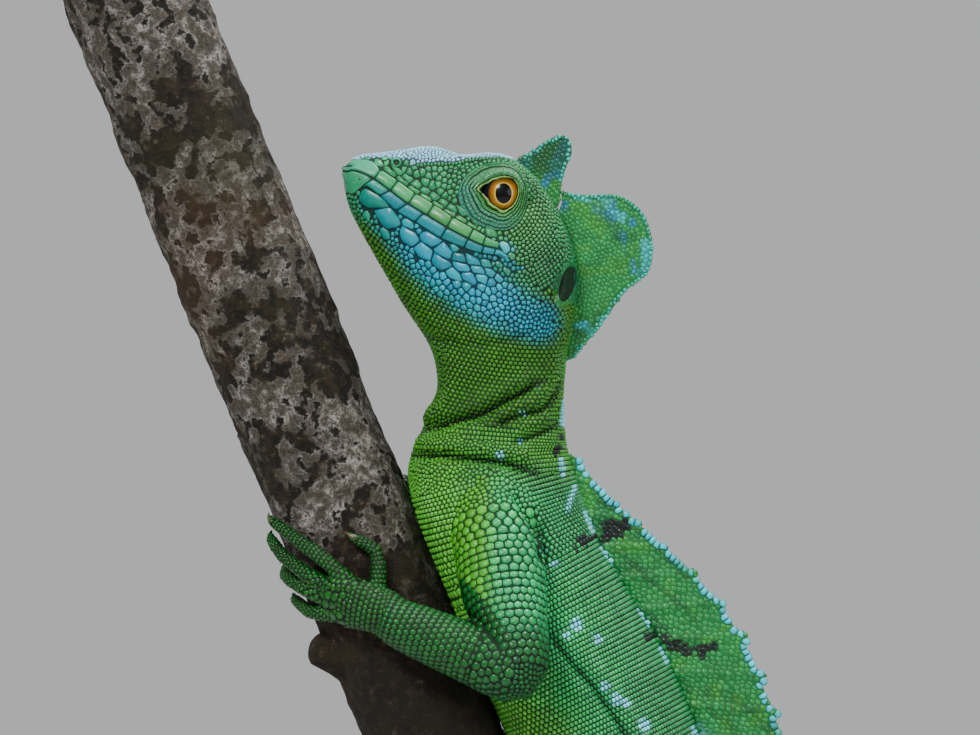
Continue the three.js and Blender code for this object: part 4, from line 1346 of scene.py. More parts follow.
def build_runs() -> list[RingRun]:
    """Lists the stretches whose scales stand in rings, the most important first.

    Returns:
        The stretches.
    """
    runs = [
        RingRun(("torso",), Axis(TORSO_AXIS, 0.8), 118, 0.3, BEAD, Region.TORSO, belly=1.5),
        RingRun(("neck", "head"), Axis(NECK_AXIS, 0.7), 96, 0.26, BEAD, Region.NECK, belly=1.3),
        RingRun(("tail_1",), Axis(TAIL_AXIS[:4], 1.0), 42, 0.4, HEXAGON, Region.TAIL),
        RingRun(("tail_2",), Axis(TAIL_AXIS[2:6], 1.3), 24, 0.45, HEXAGON, Region.TAIL),
        RingRun(("tail_3",), Axis(TAIL_AXIS[4:9], 1.5), 16, 0.4, HEXAGON, Region.TAIL, tolerance=2.0),
        RingRun(("tail_4",), Axis(TAIL_AXIS[7:], 1.3), 10, 0.3, HEXAGON, Region.TAIL, tolerance=2.0),
    ]
    counts = {"upper_arm": 31, "forearm": 27, "thigh": 34, "shin": 28}
    for name, path in LIMBS.items():
        kind = name.rsplit("_", 1)[0]
        region = Region.ARM if "arm" in kind else Region.LEG
        step = 1.2 if kind in ("upper_arm", "thigh") else 1.0
        axis = Axis(path, step, (0, 0.3, 1))
        runs.append(RingRun((name,), axis, counts[kind], 0.45, HEXAGON, region, reach=12.0))
    for (region, side), grip in GRIPS.items():
        node = f"{region.name.lower()}_{side.name.lower()}"
        for stops in DIGITS[region]:
            digit = Axis(digit_path(region, grip, stops), 0.68, tuple(PERCH_AXIS))
            runs.append(RingRun((node,), digit, 10, 0.3, FINE, region, reach=3.2))
        palm = Axis(palm_path(region, grip), 0.78, tuple(PERCH_AXIS))
        runs.append(RingRun((node,), palm, 26, 0.36, FINE, region, reach=7.0))
    return runs


@dataclass(frozen=True)
class PlateRow:
    """A row of plates beside the mouth: how far from it, the plates' size, and where it starts and ends."""

    offset: float
    length: float
    wide: float
    first: float
    last: float
    shrink: float = 0.7


PLATE_ROWS = (
    PlateRow(2.5, 2.6, 0.42, 6.0, 24.0, 0.8),
    PlateRow(3.45, 2.0, 0.52, 7.0, 21.0, 0.8),
)


@dataclass(frozen=True)
class Shield:
    """A large plate of the head's side: its middle in the side view, its half length and width, and slope."""

    x: float
    z: float
    long: float
    wide: float
    slope: float = -40.0


SHIELDS = tuple(
    Shield(*values)
    for values in (
        (-19.4, 27.6, 2.9, 1.35, -22), (-16.7, 24.6, 2.5, 1.5, -28), (-20.3, 24.7, 1.2, 0.75, -50),
        (-17.3, 21.9, 1.1, 0.75, -45), (-13.6, 23.6, 1.1, 0.65, -30), (-13.4, 21.5, 2.1, 1.1),
        (-9.8, 21.0, 1.85, 0.95, -28), (-10.9, 19.1, 1.75, 1.0, -38), (-7.5, 19.1, 1.65, 1.0, -30),
        (-8.0, 17.2, 1.8, 0.85, -35), (-5.2, 18.0, 1.25, 0.65, -28), (-4.6, 16.4, 1.35, 0.7, -32),
        (-6.1, 15.4, 1.3, 0.7, -38), (-2.8, 17.4, 1.1, 0.6, -28), (-2.0, 16.0, 1.1, 0.6, -32),
        (-3.6, 14.9, 1.15, 0.65, -36), (-0.5, 17.0, 0.95, 0.6, -30), (0.1, 15.6, 0.95, 0.55, -35),
        (-1.3, 14.6, 1.0, 0.6, -36), (1.4, 16.7, 0.8, 0.5, -40), (2.7, 15.7, 0.8, 0.5, -45),
        (1.5, 14.6, 0.85, 0.5, -40), (-2.2, 23.9, 1.15, 0.75, -38), (0.1, 22.2, 1.1, 0.75, -36),
        (-4.3, 25.7, 1.1, 0.6, -38), (2.4, 19.7, 0.95, 0.75, -58), (3.6, 18.2, 0.65, 0.5, -58),
        (-18.7, 33.4, 1.3, 0.95, -10),
    )
)
CHEEK_BAND = ((-20.0, 27.4), (-10.9, 19.2), (-3.3, 13.6), (3.0, 9.8), (8.0, 7.6))
CHEEK_WIDTHS = (1.6, 3.3, 4.5, 4.2, 3.2)


def cheek_share(side_view: Array) -> Array:
    """Gives how far places of the side view lie across the blue band of chin and cheek, 1 at its edge.

    Args:
        side_view: Places of the side view.

    Returns:
        The shares.
    """
    line = smooth_line(CHEEK_BAND, 60)
    gap, run, _ = polyline_gap(side_view, line)
    widths = np.interp(run / line_length(line), np.linspace(0, 1, len(CHEEK_WIDTHS)), CHEEK_WIDTHS)
    return gap / widths


class HeadPlates:
    """The lips' plates, the shields of the chin, and the small scales round nostrils, brows and jaw."""

    front = -2.2
    half_snout = 2.6
    start = 40.0
    eye = np.array(EYE_CENTRE[::2])
    jaw_centre = np.array((8.0, 52.0))
    jaw_reach = (27.0, 62.0)
    jaw_turns = (math.radians(205), math.radians(290))
    jaw_step = 0.68
    jaw_spacing = 0.78
    temple_turns = np.radians(np.arange(-95.0, 62.0, 2.8))
    temple_rings = 18
    temple_step = 0.62
    temple_spacing = 0.7
    border = ((-20, 3, 14), (26.0, 16.5, 9.0))
    lowest = 458.0

    def __init__(self, skin: Surface) -> None:
        """Keeps the skin that the plates stand on, and the mouth's line with its directions.

        Args:
            skin: The skin.
        """
        self.skin = skin
        self.mouth = smooth_line(MOUTH_LINE, 300)
        self.steps = unit(np.gradient(self.mouth, axis=0))
        self.across = quarter(self.steps)
        self.run = run_along(self.mouth)

    def side_view(self, places: Array, side: Side) -> tuple[Array, Array, Array]:
        """Finds the head's skin at places of the side view, seen from one side."""
        origins = place(spread(places, side.value * self.start))
        return self.skin.cast(origins, repeat((0.0, -side.value, 0.0), len(places)), self.start - 1.0)

    def at_run(self, run: Array, values: Array) -> Array:
        """Gives the mouth's places or directions at lengths along it."""
        return np.stack([np.interp(run, self.run, values[:, k]) for k in (0, 1)], axis=-1)

    def beside_mouth(self, run: Array, offset: Array) -> Array:
        """Gives places of the side view at lengths along the mouth and heights over it."""
        return self.at_run(run, self.mouth) + self.at_run(run, self.across) * np.asarray(offset)[..., None]

    def set_scales(
        self,
        sites: Sites,
        side: Side,
        flat: Array,
        ways: Array,
        size: Any,
        style: ScaleStyle,
        stretch: Any = 1.0,
    ) -> None:
        """Sets scales on one side of the head.

        Args:
            sites: Where the roots are added.
            side: The side.
            flat: Places of the side view.
            ways: The direction of each scale in the side view.
            size: The half width, one for all or one for each.
            style: The style.
            stretch: How much longer than wide, one for all or one for each.
        """
        points, normals, met = self.side_view(flat, side)
        sizes, stretches = (np.broadcast_to(values, len(flat))[met] for values in (size, stretch))
        sites.add(points[met], normals[met], spread(ways[met]), sizes, style, Region.HEAD, stretches)

    def rows(self, sites: Sites) -> None:
        """Sets the rows of chin shields and the narrow rows over the lips.

        Args:
            sites: Where the roots are added.
        """
        for row in PLATE_ROWS:
            stops, at = [], row.first
            while at < row.last:
                stops.append(at)
                share = (at - row.first) / (row.last - row.first)
                at += row.length * (1.0 + (row.shrink - 1.0) * share)
            run = np.array(stops)
            share = (run - row.first) / (row.last - row.first)
            length = row.length * (1.0 + (row.shrink - 1.0) * share)
            wide = row.wide * (1.0 + (row.shrink - 1.0) * share * 0.8)
            places = self.beside_mouth(run, row.offset * (1 - 0.12 * share))
            ways = self.at_run(run, self.steps)
            for side in Side:
                self.set_scales(sites, side, places, ways, wide, PLATE, length / 2 / wide)

    def on_side(self, places: Array, side: Side) -> tuple[Array, Array]:
        """Finds the head's skin at places of the side view, or the nearest skin where a ray would miss.

        Args:
            places: Places of the side view.
            side: The side of the animal.

        Returns:
            The places and the normals there.
        """
        points, normals, met = self.side_view(places, side)
        if not met.all():
            beside = place(spread(places[~met], side.value * 0.4))
            points[~met], normals[~met], _ = self.skin.nearest(beside)
        return points, normals

    def shields(self, sites: Sites) -> None:
        """Sets the large plates of the chin, under the eye, at the corner of the mouth and on the snout.

        Args:
            sites: Where the roots are added.
        """
        for shield in SHIELDS:
            slope = math.radians(shield.slope)
            forward = np.array([(math.cos(slope), 0.0, math.sin(slope))])
            for side in Side:
                points, normals = self.on_side(np.array([(shield.x, shield.z)]), side)
                facing = np.where(normals[:, 1] < 0, -1.0, 1.0) * np.maximum(np.abs(normals[:, 1]), 0.5)
                tilt = -(normals * forward).sum(axis=1) / facing
                lying = forward + np.stack((np.zeros(1), tilt, np.zeros(1)), axis=1)
                stretch = shield.long / shield.wide * np.linalg.norm(lying, axis=1)
                sites.add(points, normals, lying, shield.wide, PLATE, Region.HEAD, stretch)

    def jaw_rows(self, sites: Sites) -> None:
        """Sets rows of small scales that follow the jaw down to the neck, and rows behind each eye.

        Args:
            sites: Where the roots are added.
        """
        places, ways = [], []
        for i, radius in enumerate(np.arange(*self.jaw_reach, self.jaw_step)):
            turns = np.arange(*self.jaw_turns, self.jaw_spacing / radius)
            ring = directions(turns + self.jaw_spacing / 2 / radius * (i % 2))
            places.append(self.jaw_centre + ring * radius)
            ways.append(quarter(ring))
        jaw, jaw_way = np.vstack(places), np.vstack(ways)
        gap, run, _ = polyline_gap(jaw, self.mouth)
        low = gap > np.interp(run, (0, 5, 30), (4.6, 3.0, 2.0))
        low &= jaw[:, 1] < np.interp(jaw[:, 0], *self.border)
        low &= (jaw[:, 1] < 26 - 1.1 * jaw[:, 0]) & (cheek_share(jaw) > 0.98)
        rounds = []
        for k in range(self.temple_rings):
            reach = orbit_reach(self.temple_turns) + 0.45 + self.temple_step * k
            line = self.eye + directions(self.temple_turns) * reach[:, None]
            rounds.append(smooth_line(line, 2 * int(line_length(line) / self.temple_spacing))[k % 2 :: 2])
        temple = np.vstack(rounds)
        gap, run, _ = polyline_gap(temple, self.mouth)
        high = (gap > 3.2) & (temple[:, 1] > np.interp(temple[:, 0], *self.border))
        high &= cheek_share(temple) > 1.0
        temple_way = unit(quarter(temple - self.eye))
        for side in Side:
            for flat, kept, way, size in ((jaw, low, jaw_way, 0.37), (temple, high, temple_way, 0.335)):
                points, normals, met = self.side_view(flat[kept], side)
                met &= (np.abs(normals[:, 1]) > 0.5) & (points[:, 2] > self.lowest)
                sites.add(points[met], normals[met], spread(way[kept][met]), size, GRAIN, Region.HEAD)

    def rings(self, sites: Sites) -> None:
        """Sets small plates round each nostril and beads along the edge of each brow.

        Args:
            sites: Where the roots are added.
        """
        brow = smooth_line(CANTHUS[3:], 44) - (0.0, 0.22)
        for side in Side:
            for reach, count, size in ((1.7, 8, 0.5), (2.7, 10, 0.62)):
                ring = directions(np.linspace(0, 2 * math.pi, count, endpoint=False))
                self.set_scales(sites, side, np.asarray(NOSTRIL) + ring * reach, ring, size, PLATE)
            self.set_scales(sites, side, brow, unit(np.gradient(brow, axis=0)), 0.33, GRAIN)

    def lip_patches(self, side: Side) -> list[tuple[Array, float]]:
        """Draws the outlines of the lips' plates in the side view.

        Args:
            side: The side of the head.

        Returns:
            For each plate, its outlines at three heights, the outermost first, and the rise of its flat.
        """
        turns = np.linspace(0, 2 * math.pi, 36, endpoint=False)
        square = directions(turns)
        square /= (np.abs(square) ** 10.0).sum(axis=1, keepdims=True) ** (1 / 10.0)
        patches = []
        for upper, joints in ((True, UPPER_JOINTS), (False, LOWER_JOINTS)):
            for low, high in zip((self.front, *joints[1:]), joints[1:]):
                rings = []
                for inset in (0.03, 0.14, 0.42):
                    half = np.array(((high - low) / 2 - inset, 1.0))
                    along = (low + high) / 2 + square[:, 0] * half[0]
                    far = self.lip_height(along, upper)
                    out = 0.06 + inset + (square[:, 1] + 1) / 2 * (far - 0.06 - 2 * inset)
                    lean = self.lean(along, upper) * out
                    flat = self.beside_mouth(along - lean, out if upper else -out)
                    points, normals = self.on_side(flat, side)
                    rounding = along < 0.3
                    if rounding.any():
                        past = np.clip(1 + along[rounding] / -self.front, -0.1, 1)
                        ahead = spread(flat[rounding] - (1.2, 0.0), side.value * self.half_snout * past)
                        points[rounding], normals[rounding], _ = self.skin.nearest(place(ahead))
                    rings.append((points, normals))
                rises = (-0.12, 0.17, 0.23)
                outlines = [points + normals * rise for (points, normals), rise in zip(rings, rises)]
                patches.append((np.array(outlines), 0.26))
        return patches

    def anchors(self, sites: Sites) -> None:
        """Holds room for the lips' plates and the lids, so that no other scale grows over them.

        Args:
            sites: Where the roots are added.
        """
        run = np.arange(0.2, 30.4, 0.45)
        rows = []
        for upper, last in ((True, UPPER_JOINTS[-1]), (False, LOWER_JOINTS[-1])):
            kept = run[run < last - 1.8]
            far = self.lip_height(kept, upper)
            lean = self.lean(kept, upper) * far
            for depth in (0.36, 1.0):
                rows.append(self.beside_mouth(kept - lean, (far - depth) * (1 if upper else -1)))
        turns = np.linspace(-math.pi, math.pi, 80, endpoint=False)
        rows.append(self.eye + directions(turns) * (orbit_reach(turns) - 0.45)[:, None])
        places = np.vstack(rows)
        sizes = np.append(np.full(len(places), 0.36), 0.95)
        places = np.vstack((places, NOSTRIL))
        for side in Side:
            points, normals = self.on_side(places, side)
            sites.add(points, normals, repeat(BACK_AND_DOWN, len(points)), sizes, ANCHOR, Region.HEAD)

    def lean(self, run: Array, upper: bool) -> Array:
        """Gives how far the lower lip's joints lean forward, as a share of the height; the upper's don't."""
        return np.interp(run, (0, 4.6, 12, 19), (0.0, 0.55, 0.36, 0.0)) * (not upper)

    def lip_height(self, run: Array, upper: bool) -> Array:
        """Gives the height of the upper or lower row of plates at lengths along the mouth."""
        stops, heights = UPPER_HEIGHTS if upper else LOWER_HEIGHTS
        return np.interp(run, stops, heights)


@dataclass(frozen=True)
class Patch:
    """A ring of hide round a place of the head's side view, as a grid of turns and shares of the way out."""

    turns: Array
    share: Array
    places: Array
    out: Array

    def points(self, side: Side) -> Array:
        """Gives the patch's points in the model's frame."""
        block = np.stack((self.places[..., 0], side.value * self.out, self.places[..., 1]), axis=2)
        return place(block.reshape(-1, 3))

    def mesh(self, name: str, side: Side, colours: Array) -> bpy.types.Object:
        """Makes the patch's mesh.

        Args:
            name: The piece's name.
            side: The side of the head.
            colours: A colour for each point.

        Returns:
            The piece.
        """
        rows, around = self.turns.shape
        columns = np.arange(around)
        after = np.roll(columns, -1)
        faces = []
        for row in range(rows - 1):
            a, b = row * around, (row + 1) * around
            faces.append(np.stack((a + columns, b + after, b + columns), axis=1))
            faces.append(np.stack((a + columns, a + after, b + after), axis=1))
        triangles = np.concatenate(faces)
        if side is Side.RIGHT:
            triangles = triangles[:, ::-1]
        obj = mesh_object(name, self.points(side), triangles)
        paint_mesh(obj, colours)
        return obj


def patch_grid(around: int, across: int) -> tuple[Array, Array]:
    """Gives the turns and shares of a patch's grid."""
    return np.meshgrid(np.linspace(-math.pi, math.pi, around, endpoint=False), np.linspace(0, 1, across))


@dataclass
class Lids:
    """The lids and the concentric folds round each eye."""

    creases: tuple[float, ...] = (0.15, 0.33, 0.51, 0.69, 0.86)
    depths: tuple[float, ...] = (1.0, 0.65, 0.9, 0.55, 0.7)
    grid: tuple[int, int] = (420, 72)
    wall: float = 0.55

    def build(self, side: Side, plates: HeadPlates, markings: Markings) -> bpy.types.Object:
        """Makes the lids of one eye as a ring of folded hide.

        Args:
            side: Which eye.
            plates: What finds the skin of the head.
            markings: The colours.

        Returns:
            The lids.
        """
        turns, share = patch_grid(*self.grid)
        inner, outer = lid_reach(turns), orbit_reach(turns)
        reach = inner + (outer - inner) * share
        places = plates.eye + directions(turns) * reach[..., None]
        points, _, _ = plates.side_view(places.reshape(-1, 2), side)
        skin_out = np.abs(points[:, 1] - DATUM[1]).reshape(turns.shape)
        ball = EYE_RADIUS + 0.1 + self.wall * smoothstep(0.0, 0.3, share)
        ball_out = EYE_CENTRE[1] + np.sqrt(np.maximum(ball**2 - reach**2, 1.3**2))
        out = np.maximum(ball_out * (share < 0.75), skin_out + 0.06)
        for _ in range(6):
            out[1:-1] = (out[:-2] + out[1:-1] * 2 + out[2:]) / 4
        height, crease = self._relief(turns, share)
        out += height
        out[-1] = skin_out[-1] - 0.4
        patch = Patch(turns, share, places, out)
        colours = self._colours(patch, crease.ravel(), side, markings)
        return patch.mesh(f"lids_{side.name.lower()}", side, colours)

    def _relief(self, turns: Array, share: Array) -> tuple[Array, Array]:
        """Gives the folds' height over the skin and how deep in a crease each place is.

        Args:
            turns: Directions in the side view, in radians.
            share: How far out each place lies, from 0 to 1.

        Returns:
            The heights and the depths.
        """
        wobble = 0.022 * np.sin(turns * 3.0 + 1.0) + 0.016 * np.sin(turns * 7.0)
        wobble += 0.008 * np.sin(turns * 17.0)
        top = smoothstep(0.05, 0.55, np.sin(turns) + 0.1 * np.cos(turns))
        deep = np.zeros_like(share)
        for crease_at, depth in zip(self.creases, self.depths):
            deep = np.maximum(deep, depth * np.exp(-(((share - crease_at - wobble) / 0.03) ** 2)))
        upper = np.exp(-(((share - 0.7 - wobble) / 0.055) ** 2))
        upper = np.maximum(upper, 0.6 * np.exp(-(((share - 0.14) / 0.022) ** 2)))
        upper = np.maximum(upper, 0.5 * np.exp(-(((share - 0.87 - wobble) / 0.028) ** 2)))
        crease = deep * (1 - top) + upper * top
        band = np.searchsorted(self.creases, share - wobble)
        phase = turns * (26 + 7 * band) + band * 1.7 + 0.5 * np.sin(turns * 5.0 + band)
        notch = smoothstep(0.72, 1.0, np.abs(np.sin(phase / 2))) * smoothstep(0.1, 0.2, share)
        notch = notch * np.interp(share, (0.15, 0.5, 1.0), (0.25, 0.6, 0.9))
        crease = np.maximum(crease, notch * 0.75 * (1 - 0.5 * top))
        crease = crease * smoothstep(1.06, 0.9, share)
        rim = 0.14 * np.exp(-(((share - 0.06) / 0.05) ** 2))
        roll = 0.2 * (1 - top) + 0.34 * top * np.exp(-(((share - 0.42) / 0.2) ** 2))
        roll = roll * smoothstep(1.02, 0.84, share)
        return roll * (1 - crease) - np.where(crease > notch, 0.3, 0.06) * crease + rim, crease

    def _colours(self, patch: Patch, crease: Array, side: Side, markings: Markings) -> Array:
        """Colours the pale rim and the grey-green upper lid, and paints the creases and the edge against the
        eye black as shade.

        Args:
            patch: The ring of hide.
            crease: How deep in a crease each place is.
            side: The side of the animal.
            markings: The colours.

        Returns:
            The colours.
        """
        points = patch.points(side)
        colours = markings.paint(points, np.full(len(points), Region.HEAD.value))
        share, turns = patch.share.ravel(), patch.turns.ravel()
        top = smoothstep(0.05, 0.5, np.sin(turns))
        lay(colours, markings.LID * (0.6, 0.8, 0.9), smoothstep(0.95, 0.5, share) * 0.6)
        band = top * smoothstep(0.12, 0.2, share) * smoothstep(0.72, 0.6, share)
        lay(colours, markings.LID_BAND, band * 0.85)
        teal = (1 - top) * smoothstep(0.2, 0.5, share) * smoothstep(1.2, -0.4, np.cos(turns))
        lay(colours, markings.LOWER_LIP * 0.8, teal * 0.4)
        lay(colours, markings.LID_RIM, np.exp(-(((share - 0.07) / 0.05) ** 2)) * 0.8)
        colours *= 1.0 + 0.3 * value_noise(points, 0.3, 41)[:, None]
        # Painted shade: the creases and the edge against the eye are laid black.
        lay(colours, markings.BLACK, crease * 0.95)
        lay(colours, markings.BLACK, smoothstep(0.03, 0.0, share))
        return colours


@dataclass(frozen=True)
class Opening:
    """A nostril or an ear: an oval pit, painted black as the shade inside it, with a raised rim, and for the
    ear a drum inside.
    """

    name: str
    centre: tuple[float, float]
    wide: float
    tall: float
    lean: float
    depth: float
    drum: bool = False
    grid: tuple[int, int] = (96, 30)
    reach: float = 1.55

    def build(self, side: Side, plates: HeadPlates, markings: Markings) -> bpy.types.Object:
        """Makes one opening's pit and rim.

        Args:
            side: The side of the head.
            plates: What finds the skin of the head.
            markings: The colours.

        Returns:
            The piece.
        """
        turns, share = patch_grid(*self.grid)
        reach = 0.02 + share * self.reach
        across = np.cos(turns) * reach * self.wide
        long = np.sin(turns) * reach * self.tall
        x = self.centre[0] + across * math.cos(self.lean) + long * math.sin(self.lean)
        z = self.centre[1] - across * math.sin(self.lean) + long * math.cos(self.lean)
        places = np.stack((x, z), axis=2)
        points, _, _ = plates.side_view(places.reshape(-1, 2), side)
        skin_out = np.abs(points[:, 1]).reshape(turns.shape)
        edge = skin_out[-1].mean()
        level = skin_out * smoothstep(0.6, 1.2, reach) + edge * (1 - smoothstep(0.6, 1.2, reach))
        pit = smoothstep(1.0, 0.72, reach)
        rim = np.exp(-(((reach - 1.12) / 0.16) ** 2))
        out = level + 0.05 - self.depth * pit + 0.2 * rim
        out[-1] = skin_out[-1] - 0.25
        patch = Patch(turns, share, places, out)
        block = patch.points(side)
        colours = markings.paint(block, np.full(len(block), Region.HEAD.value))
        tint = markings.TEMPLE * 0.8 if self.drum else markings.UPPER_LIP
        reach = reach.ravel()
        lay(colours, tint, smoothstep(self.reach, 1.1, reach))
        # Painted shade: the pit is laid black.
        lay(colours, markings.BLACK, smoothstep(1.02, 0.86, reach))
        if self.drum:
            mottle = 1.0 + 0.5 * value_noise(block, 0.9, 51)[:, None]
            lay(colours, markings.EAR_DRUM * mottle, smoothstep(0.86, 0.6, reach))
        return patch.mesh(f"{self.name}_{side.name.lower()}", side, np.clip(colours, 0, 1))


OPENINGS = (
    Opening("nostril", NOSTRIL, 0.56, 0.52, 0.0, 0.8),
    Opening("ear", EAR, 1.25, 3.0, EAR_LEAN, 0.75, True),
)


def head_size(points: Array) -> Array:
    """Gives the half width of the small scales at places on the head and neck.

    Args:
        points: Places in the model's frame.

    Returns:
        The half widths.
    """
    x, _, z = (points - DATUM).T
    side_view = np.stack((x, z), axis=1)
    size = np.full(len(points), 0.36)
    for middle_x, middle_z, width, change in ((-19, 33, 3.5, 0.2), (-11, 30, 4.5, 0.2), (8, 21, 4.0, 0.02)):
        size += change * np.exp(-((x - middle_x) ** 2 + (z - middle_z) ** 2) / width**2)
    cheek = cheek_share(side_view) < 1.0
    reach = np.hypot(x + 4.0, z - 16.0)[cheek]
    size[cheek] = np.interp(reach, (0, 4, 8, 12, 16), (0.7, 0.58, 0.45, 0.38, 0.35))
    size[(z > np.interp(x, *np.array(CANTHUS).T)) & (x < 9)] = 0.3
    return np.clip(size, 0.28, 0.9)


@dataclass
class GapFiller:
    """Finds bare skin and covers it with scales that settle between their neighbours."""

    skin: Surface
    rounds: int = 9
    density: float = 13.0
    cell: float = 2.0
    closeness: float = 0.79
    slack: float = 1.06
    push: float = 0.32
    neighbours: int = 7

    def bare_points(
        self, taken: dict[str, Array], sizes_at: Any, draw: np.random.Generator
    ) -> tuple[Array, Array]:
        """Draws random places on the triangles that no scale covers yet.

        Args:
            taken: The sites so far.
            sizes_at: A function that gives the size of scale wanted at places.
            draw: The source of random numbers.

        Returns:
            The places and their wanted sizes.
        """
        corners = self.skin.points[self.skin.triangles]
        middles = corners.mean(axis=1)
        tree = make_tree(taken["points"])
        found = [tree.find(middle) for middle in middles.tolist()]
        nearest, gaps = np.array([hit[1] for hit in found]), np.array([hit[2] for hit in found])
        wanted = sizes_at(middles)
        bare = gaps > (cover(taken)[nearest] + wanted * 0.5)
        corners, wanted = corners[bare], wanted[bare]
        b_side, c_side = corners[:, 1] - corners[:, 0], corners[:, 2] - corners[:, 0]
        areas = np.linalg.norm(np.cross(b_side, c_side), axis=1) / 2
        counts = draw.poisson(areas * self.density / (wanted / 0.42) ** 2)
        rows = np.repeat(np.arange(len(corners)), counts)
        mix = draw.random((len(rows), 2))
        flip = mix.sum(axis=1) > 1
        mix[flip] = 1 - mix[flip]
        a, b, c = corners[rows, 0], corners[rows, 1], corners[rows, 2]
        points = a + (b - a) * mix[:, :1] + (c - a) * mix[:, 1:]
        order = draw.permutation(len(points))
        return points[order], wanted[rows][order]

    def fill(self, taken: dict[str, Array], sizes_at: Any, blocked: Any) -> tuple[Array, Array, Array]:
        """Chooses new sites on bare skin and lets them settle.

        Args:
            taken: The sites so far.
            sizes_at: A function that gives the size of scale wanted at places.
            blocked: A function that tells which places must stay bare.

        Returns:
            The new points, normals and sizes.
        """
        draw = np.random.default_rng(SEED)
        points, sizes = self.bare_points(taken, sizes_at, draw)
        clear = ~blocked(points)
        points, sizes = points[clear], sizes[clear]
        cells: dict[tuple[int, int, int], list[int]] = {}
        all_points = np.vstack((taken["points"], points))
        all_sizes = np.concatenate((cover(taken), sizes))
        keys = np.floor(all_points / self.cell).astype(int)
        count = len(taken["points"])
        for i in range(count):
            cells.setdefault(tuple(keys[i]), []).append(i)
        chosen = []
        spans = [(a, b, c) for a in (-1, 0, 1) for b in (-1, 0, 1) for c in (-1, 0, 1)]
        for i in range(count, len(all_points)):
            kx, ky, kz = keys[i]
            near = [j for a, b, c in spans for j in cells.get((kx + a, ky + b, kz + c), ())]
            if near:
                gaps = np.linalg.norm(all_points[near] - all_points[i], axis=1)
                if (gaps < self.closeness * (all_sizes[near] + all_sizes[i])).any():
                    continue
            cells.setdefault((kx, ky, kz), []).append(i)
            chosen.append(i)
        return self._settle(taken, all_points[chosen], all_sizes[chosen], blocked)

    def _settle(
        self, taken: dict[str, Array], points: Array, sizes: Array, blocked: Any
    ) -> tuple[Array, Array, Array]:
        """Pushes new sites apart over the skin until they are evenly spaced.

        Args:
            taken: The sites so far.
            points: The new sites' places.
            sizes: The half width of each scale.
            blocked: A function that tells which places must stay bare.

        Returns:
            The settled places, their normals and sizes.
        """
        all_sizes = np.concatenate((cover(taken), sizes))
        for _ in range(self.rounds):
            everyone = np.vstack((taken["points"], points))
            tree = make_tree(everyone)
            found = [tree.find_n(point, self.neighbours + 1) for point in points.tolist()]
            index = np.array([[hit[1] for hit in row] for row in found])[:, 1:]
            away = points[:, None] - everyone[index]
            gaps = np.linalg.norm(away, axis=2)
            wanted = (all_sizes[index] + sizes[:, None]) * self.slack
            push = np.clip(wanted - gaps, 0, None) / np.maximum(gaps, 1e-6)
            moved = points + (away * push[..., None]).sum(axis=1) * self.push
            settled, _, _ = self.skin.nearest(moved)
            stay = blocked(settled)
            settled[stay] = points[stay]
            points = settled
        _, normals, _ = self.skin.nearest(points)
        return points, normals, sizes


def bare_on_head(points: Array) -> Array:
    """Tells which places carry no small scales: the lids, nostrils, ear drums and the lips.

    Args:
        points: Places in the model's frame.

    Returns:
        True for each place that stays bare.
    """
    local = points - DATUM
    x, y, z = local.T
    turns = np.arctan2(z - EYE_CENTRE[2], x - EYE_CENTRE[0])
    lids = (np.hypot(x - EYE_CENTRE[0], z - EYE_CENTRE[2]) < orbit_reach(turns) * 0.93) & (np.abs(y) > 3.0)
    nostril = (np.hypot(x - NOSTRIL[0], z - NOSTRIL[1]) < 0.85) & (np.abs(y) > 1.0)
    off = np.stack((x, z), axis=1) - EAR
    across = off @ np.array((math.cos(EAR_LEAN), -math.sin(EAR_LEAN)))
    long = off @ np.array((math.sin(EAR_LEAN), math.cos(EAR_LEAN)))
    ear = ((across / 1.6) ** 2 + (long / 3.8) ** 2 < 1) & (np.abs(y) > 2.0)
    gap, run, above = flat_line_gap(np.stack((x, z), axis=1), np.array(MOUTH_LINE), 5.0)
    upper = np.interp(run, (0, 3, 4.7, 23, 28.3), (1.3, 2.2, 1.8, 1.75, 0.8))
    lower = np.interp(run, (0, 4.0, 5.5, 11.5, 19, 23, 30.6), (3.6, 3.0, 1.3, 1.75, 1.9, 1.5, 0.8))
    far = np.where(above, upper, lower)
    lips = (gap < far) & (run < np.where(above, 26.0, 28.0))
    lips |= (x < -21.5) & (z > 28.6) & (z < 34.4) & (np.abs(y) < 2.6)
    return lids | nostril | ear | lips


